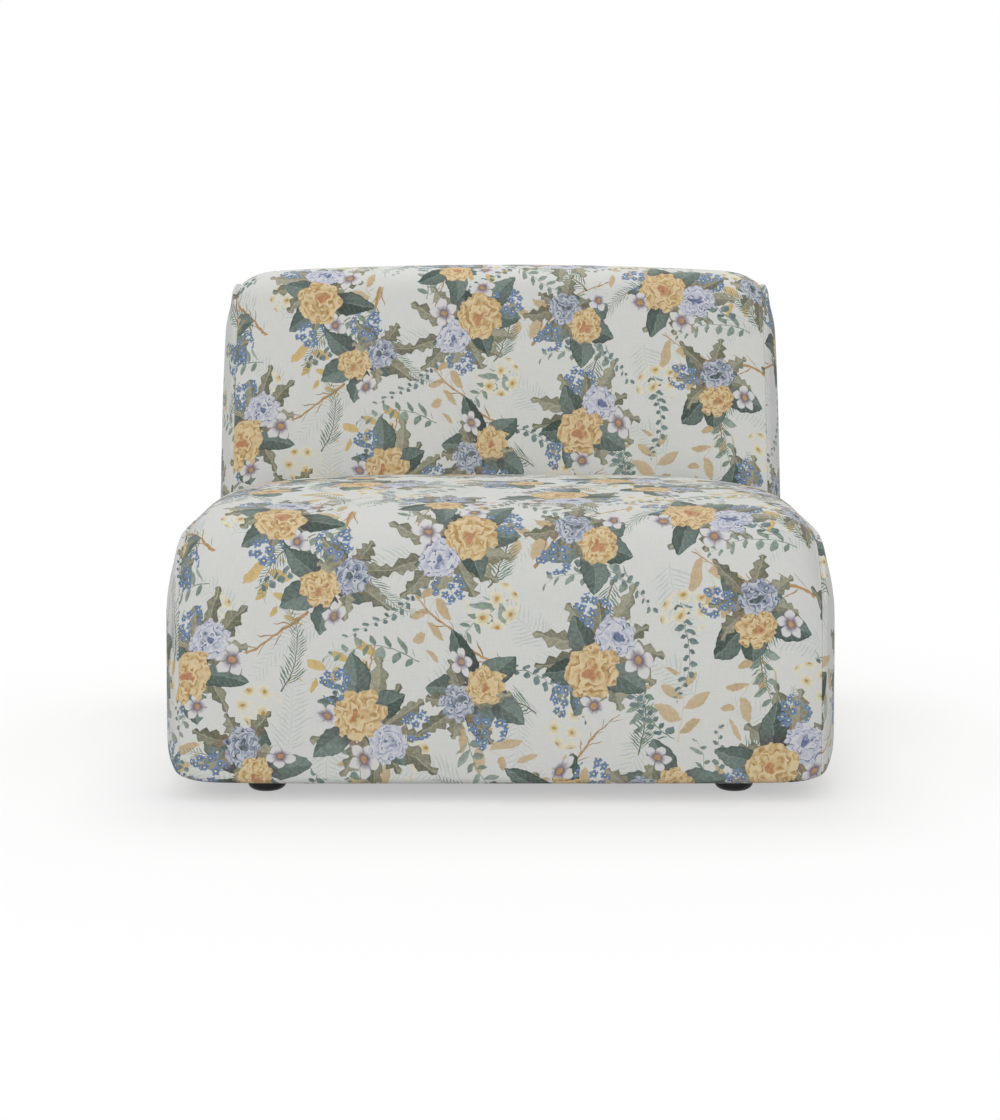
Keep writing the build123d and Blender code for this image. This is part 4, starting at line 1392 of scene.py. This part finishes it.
pine_boards = [
    wood(f"planed pine, bare, grain along {AXES[i]}", i, "#DDBB86", "#B98D58", 9 * mm) for i in range(3)
]
plywood_sheets = [
    wood(f"birch plywood, layers across {AXES[i]}", (i + 1) % 3, "#DEC597", "#C4A36F", 30 * mm, i)
    for i in range(3)
]

# %% [markdown]
# The rest is matt and even: pressed fibre, felted fibre, spun fleece, open foam, woven elastic, and plastic
# from a mould with a sparked grain. Small cells, each a little lighter or darker than the next, make them
# all, and the cells' size and depth tell one from another.

# %% Hardboard, felt, fleece, foam, webbing and plastic


def speckled(name, light, dark, grain, relief_depth, roughness, stretch=(1, 1, 1), sheen=0):
    """A matt material of fibres or cells, whose grains differ in tone and stand out a little."""
    made, tree = material(name)
    place = add(tree, "ShaderNodeTexCoord")["Object"] * stretch
    grains = add(tree, "ShaderNodeTexVoronoi", None, {"Vector": place, "Scale": 1 / grain})
    drift = add(tree, NOISE, None, {"Vector": place, "Scale": 0.2 / grain, "Detail": 4})
    share = grains["Distance"].ranged(0, 0.7).by("MULTIPLY_ADD", 0.5, drift) - 0.2
    tone = share.between(light, dark)
    relief = add(tree, BUMP, None, {"Strength": 0.5, "Distance": relief_depth, "Height": share})
    coat(tree, {"Base Color": tone, "Roughness": roughness, "Specular IOR Level": 0.35,
                "Sheen Weight": sheen, "Normal": relief})
    return made


hardboard = speckled("hardboard, pressed fibre", "#8A6746", "#5E432B", 1.4 * mm, 0.2 * mm, 0.62)
felt = speckled("needled felt, grey", "#8B8B89", "#5A5A5A", 1.8 * mm, 0.5 * mm, 0.95, sheen=0.3)
fleece = speckled(
    "spun polypropylene fleece, black", "#232324", "#101011", 2.2 * mm, 0.2 * mm, 0.78, sheen=0.15
)
foam = speckled("polyurethane foam, open cells", "#EBDDAF", "#CDB97F", 2.5 * mm, 0.5 * mm, 0.9)
elastic = speckled(
    "elastic webbing, woven black", "#3A3A3B", "#161617", 2 * mm, 0.3 * mm, 0.8, (1, 1, 0.35)
)
plastic = speckled(
    "moulded polypropylene, black, spark-grained", "#131314", "#0A0A0B", 0.9 * mm, 0.06 * mm, 0.42
)
print("finishes", len(bpy.data.materials))

# %% [markdown]
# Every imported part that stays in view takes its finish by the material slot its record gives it. A board's
# grain follows its longest side, and plywood's layers its thinnest one.

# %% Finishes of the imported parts
slot_of = {row["node"]: row["material_slot"] for row in frame["record"]["subparts"]}
plain_finishes = {
    "hardboard": hardboard, "felt": felt, "dust_cloth": fleece, "foam": foam, "webbing": elastic,
    "spring_steel": wire, "zinc_plated_steel": zinc, "foot_plastic": plastic, "printed_cloth": cloth_material,
}


def finish_for(node):
    """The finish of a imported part, by its material slot and the way it lies."""
    low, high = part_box(node)
    lengths = [high[i] - low[i] for i in range(3)]
    if slot_of[node] == "timber":
        return pine_boards[lengths.index(max(lengths))]
    if slot_of[node] == "plywood":
        return plywood_sheets[lengths.index(min(lengths))]
    return plain_finishes[slot_of[node]]


for node, part in frame["nodes"].items():
    finish = finish_for(node)
    for held in part.material_slots:
        held.material = finish
    if not part.material_slots:
        part.data.materials.append(finish)
print("finished", len(frame["nodes"]), "packed parts")

# %% [markdown]
# Foam and felt lie inside the covers. They are cut from blocks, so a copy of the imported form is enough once
# its corners are softened: the copy's loose triangles are merged, and foam is remade as an even net and
# relaxed, while thin felt only has its edges rounded.

# %% Soft fillings
relax_rounds = 6
foam_net = 9 * mm
felt_edge = 1.2 * mm
felt_edge_steps = 3
merge_distance = 0.01 * mm


def softened(name, node, voxel=None):
    """A copy of a packed soft part with rounded corners, and an even net of faces where it has a voxel."""
    mesh = frame["nodes"][node].data.copy()
    mesh.materials.clear()
    piece = bpy.data.objects.new(name, mesh)
    scene.collection.objects.link(piece)
    shape = bmesh.new()
    shape.from_mesh(mesh)
    bmesh.ops.remove_doubles(shape, verts=shape.verts, dist=merge_distance)
    shape.to_mesh(mesh)
    shape.free()
    if voxel:
        net = piece.modifiers.new("net", "REMESH")
        net.mode = "VOXEL"
        net.voxel_size = voxel
        relaxed = piece.modifiers.new("relaxed", "SMOOTH")
        relaxed.iterations = relax_rounds
    else:
        rounded = piece.modifiers.new("rounded", "BEVEL")
        rounded.width = felt_edge
        rounded.segments = felt_edge_steps
    evaluated = piece.evaluated_get(bpy.context.evaluated_depsgraph_get())
    piece.data = bpy.data.meshes.new_from_object(evaluated)
    piece.modifiers.clear()
    piece.data.materials.append(finish_for(node))
    piece.data.shade_smooth()
    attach(piece, "sofa")
    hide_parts(node)
    print(name, len(piece.data.polygons), "faces")


softened("seat_foam_block", "seat_foam", foam_net)
softened("back_foam_block", "back_foam", foam_net)
softened("felt_pad", "spring_pad")

# %% [markdown]
# The backrest's foam leans on elastic webbing: wide woven straps, stretched from gable to gable and pushed
# back a little in their middles. One strap is a thin slab with a few cuts across it, bent by its distance
# from the middle, and a row of copies climbs along the backrest's lean.

# %% Webbing
web_width = 60 * mm
web_gap = 22 * mm
web_thickness = 2.5 * mm
web_bow = 1.5 * mm
straps, give = drawing(
    "straps",
    [(scalar, "Span Width Thickness Bow"), ("NodeSocketRotation", "Lean"), (whole_number, "Count"),
     (vector, "Step Place"), (finish_socket, "Finish")],
    geometry,
    "GeometryNodeTree",
)
slab_size = add(straps, XYZ, None, (give["Span"], give["Thickness"], give["Width"]))
strap = add(straps, "GeometryNodeMeshCube", None,
            {"Size": slab_size, "Vertices X": 25, "Vertices Y": 2, "Vertices Z": 7})["Mesh"]
share = add(straps, "GeometryNodeInputPosition").along(x_axis) / give["Span"]
push = (1 - (share * 2).by("POWER", 2)) * give["Bow"]
push = add(straps, XYZ, None, (0, push, 0))
strap = add(straps, "GeometryNodeSetPosition", None, {"Geometry": strap, "Offset": push})
strap = add(straps, "GeometryNodeTransform", None, {"Geometry": strap, "Rotation": give["Lean"]})
ladder = add(straps, "GeometryNodeMeshLine", None,
             {"Count": give["Count"], "Start Location": give["Place"], "Offset": give["Step"]})
set_out = add(straps, "GeometryNodeInstanceOnPoints", None, {"Points": ladder, "Instance": strap})
real = add(straps, "GeometryNodeRealizeInstances", None, (set_out,))
finished = add(straps, SET_MATERIAL, None, {"Geometry": real, "Material": give["Finish"]})
hand_out(straps, Geometry=finished)

web_low, web_high = (Vector(corner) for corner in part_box("back_webbing"))
web_pitch = web_width + web_gap
web_lean = (face_y(web_pitch) - face_y(0)) / web_pitch
web_front = web_low.y + web_thickness / 2 + web_lean * web_width / 2
webbing = grown("back_webbing_straps", straps, {
    "Span": web_high.x - web_low.x, "Width": web_width / math.cos(math.atan(web_lean)),
    "Thickness": web_thickness, "Bow": web_bow, "Lean": (-math.atan(web_lean), 0, 0),
    "Count": round((web_high.z - web_low.z + web_gap) / web_pitch),
    "Step": (0, web_lean * web_pitch, web_pitch), "Place": (0, web_front, web_low.z + web_width / 2),
    "Finish": elastic,
})
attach(webbing, "sofa")
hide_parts("back_webbing")
print("webbing", len(webbing.data.polygons), "faces")

# %% [markdown]
# The feet and the dust cloth are in place already. Now they take their finishes, and the staples that
# hold the dust cloth stretched are grown along its edge.

# %% Feet, dust cloth and staples, dressed
for node, piece in feet.items():
    piece.data.materials.append(plastic)
    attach(piece, "sofa")
    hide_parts(node)
dust.data.materials.append(fleece)
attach(dust, "sofa")
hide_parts("dust_cloth")
staple_inset = 7 * mm
staple_sink = 0.1 * mm
dust_middle = (dust_start + dust_end) / 2
dust_staples = grown("dust_cloth_staples", staples, {
    "Width": dust_size.x - 2 * staple_inset, "Length": dust_size.y - 2 * staple_inset, "Pitch": 38 * mm,
    "Crown": 10.5 * mm, "Wire": 0.9 * mm, "Askew": math.radians(8), "Seed": 5,
    "Place": (dust_middle.x, dust_middle.y, dust_low.z + staple_sink), "Finish": zinc,
})
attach(dust_staples, "sofa")
print("staples", len(dust_staples.data.polygons), "faces")
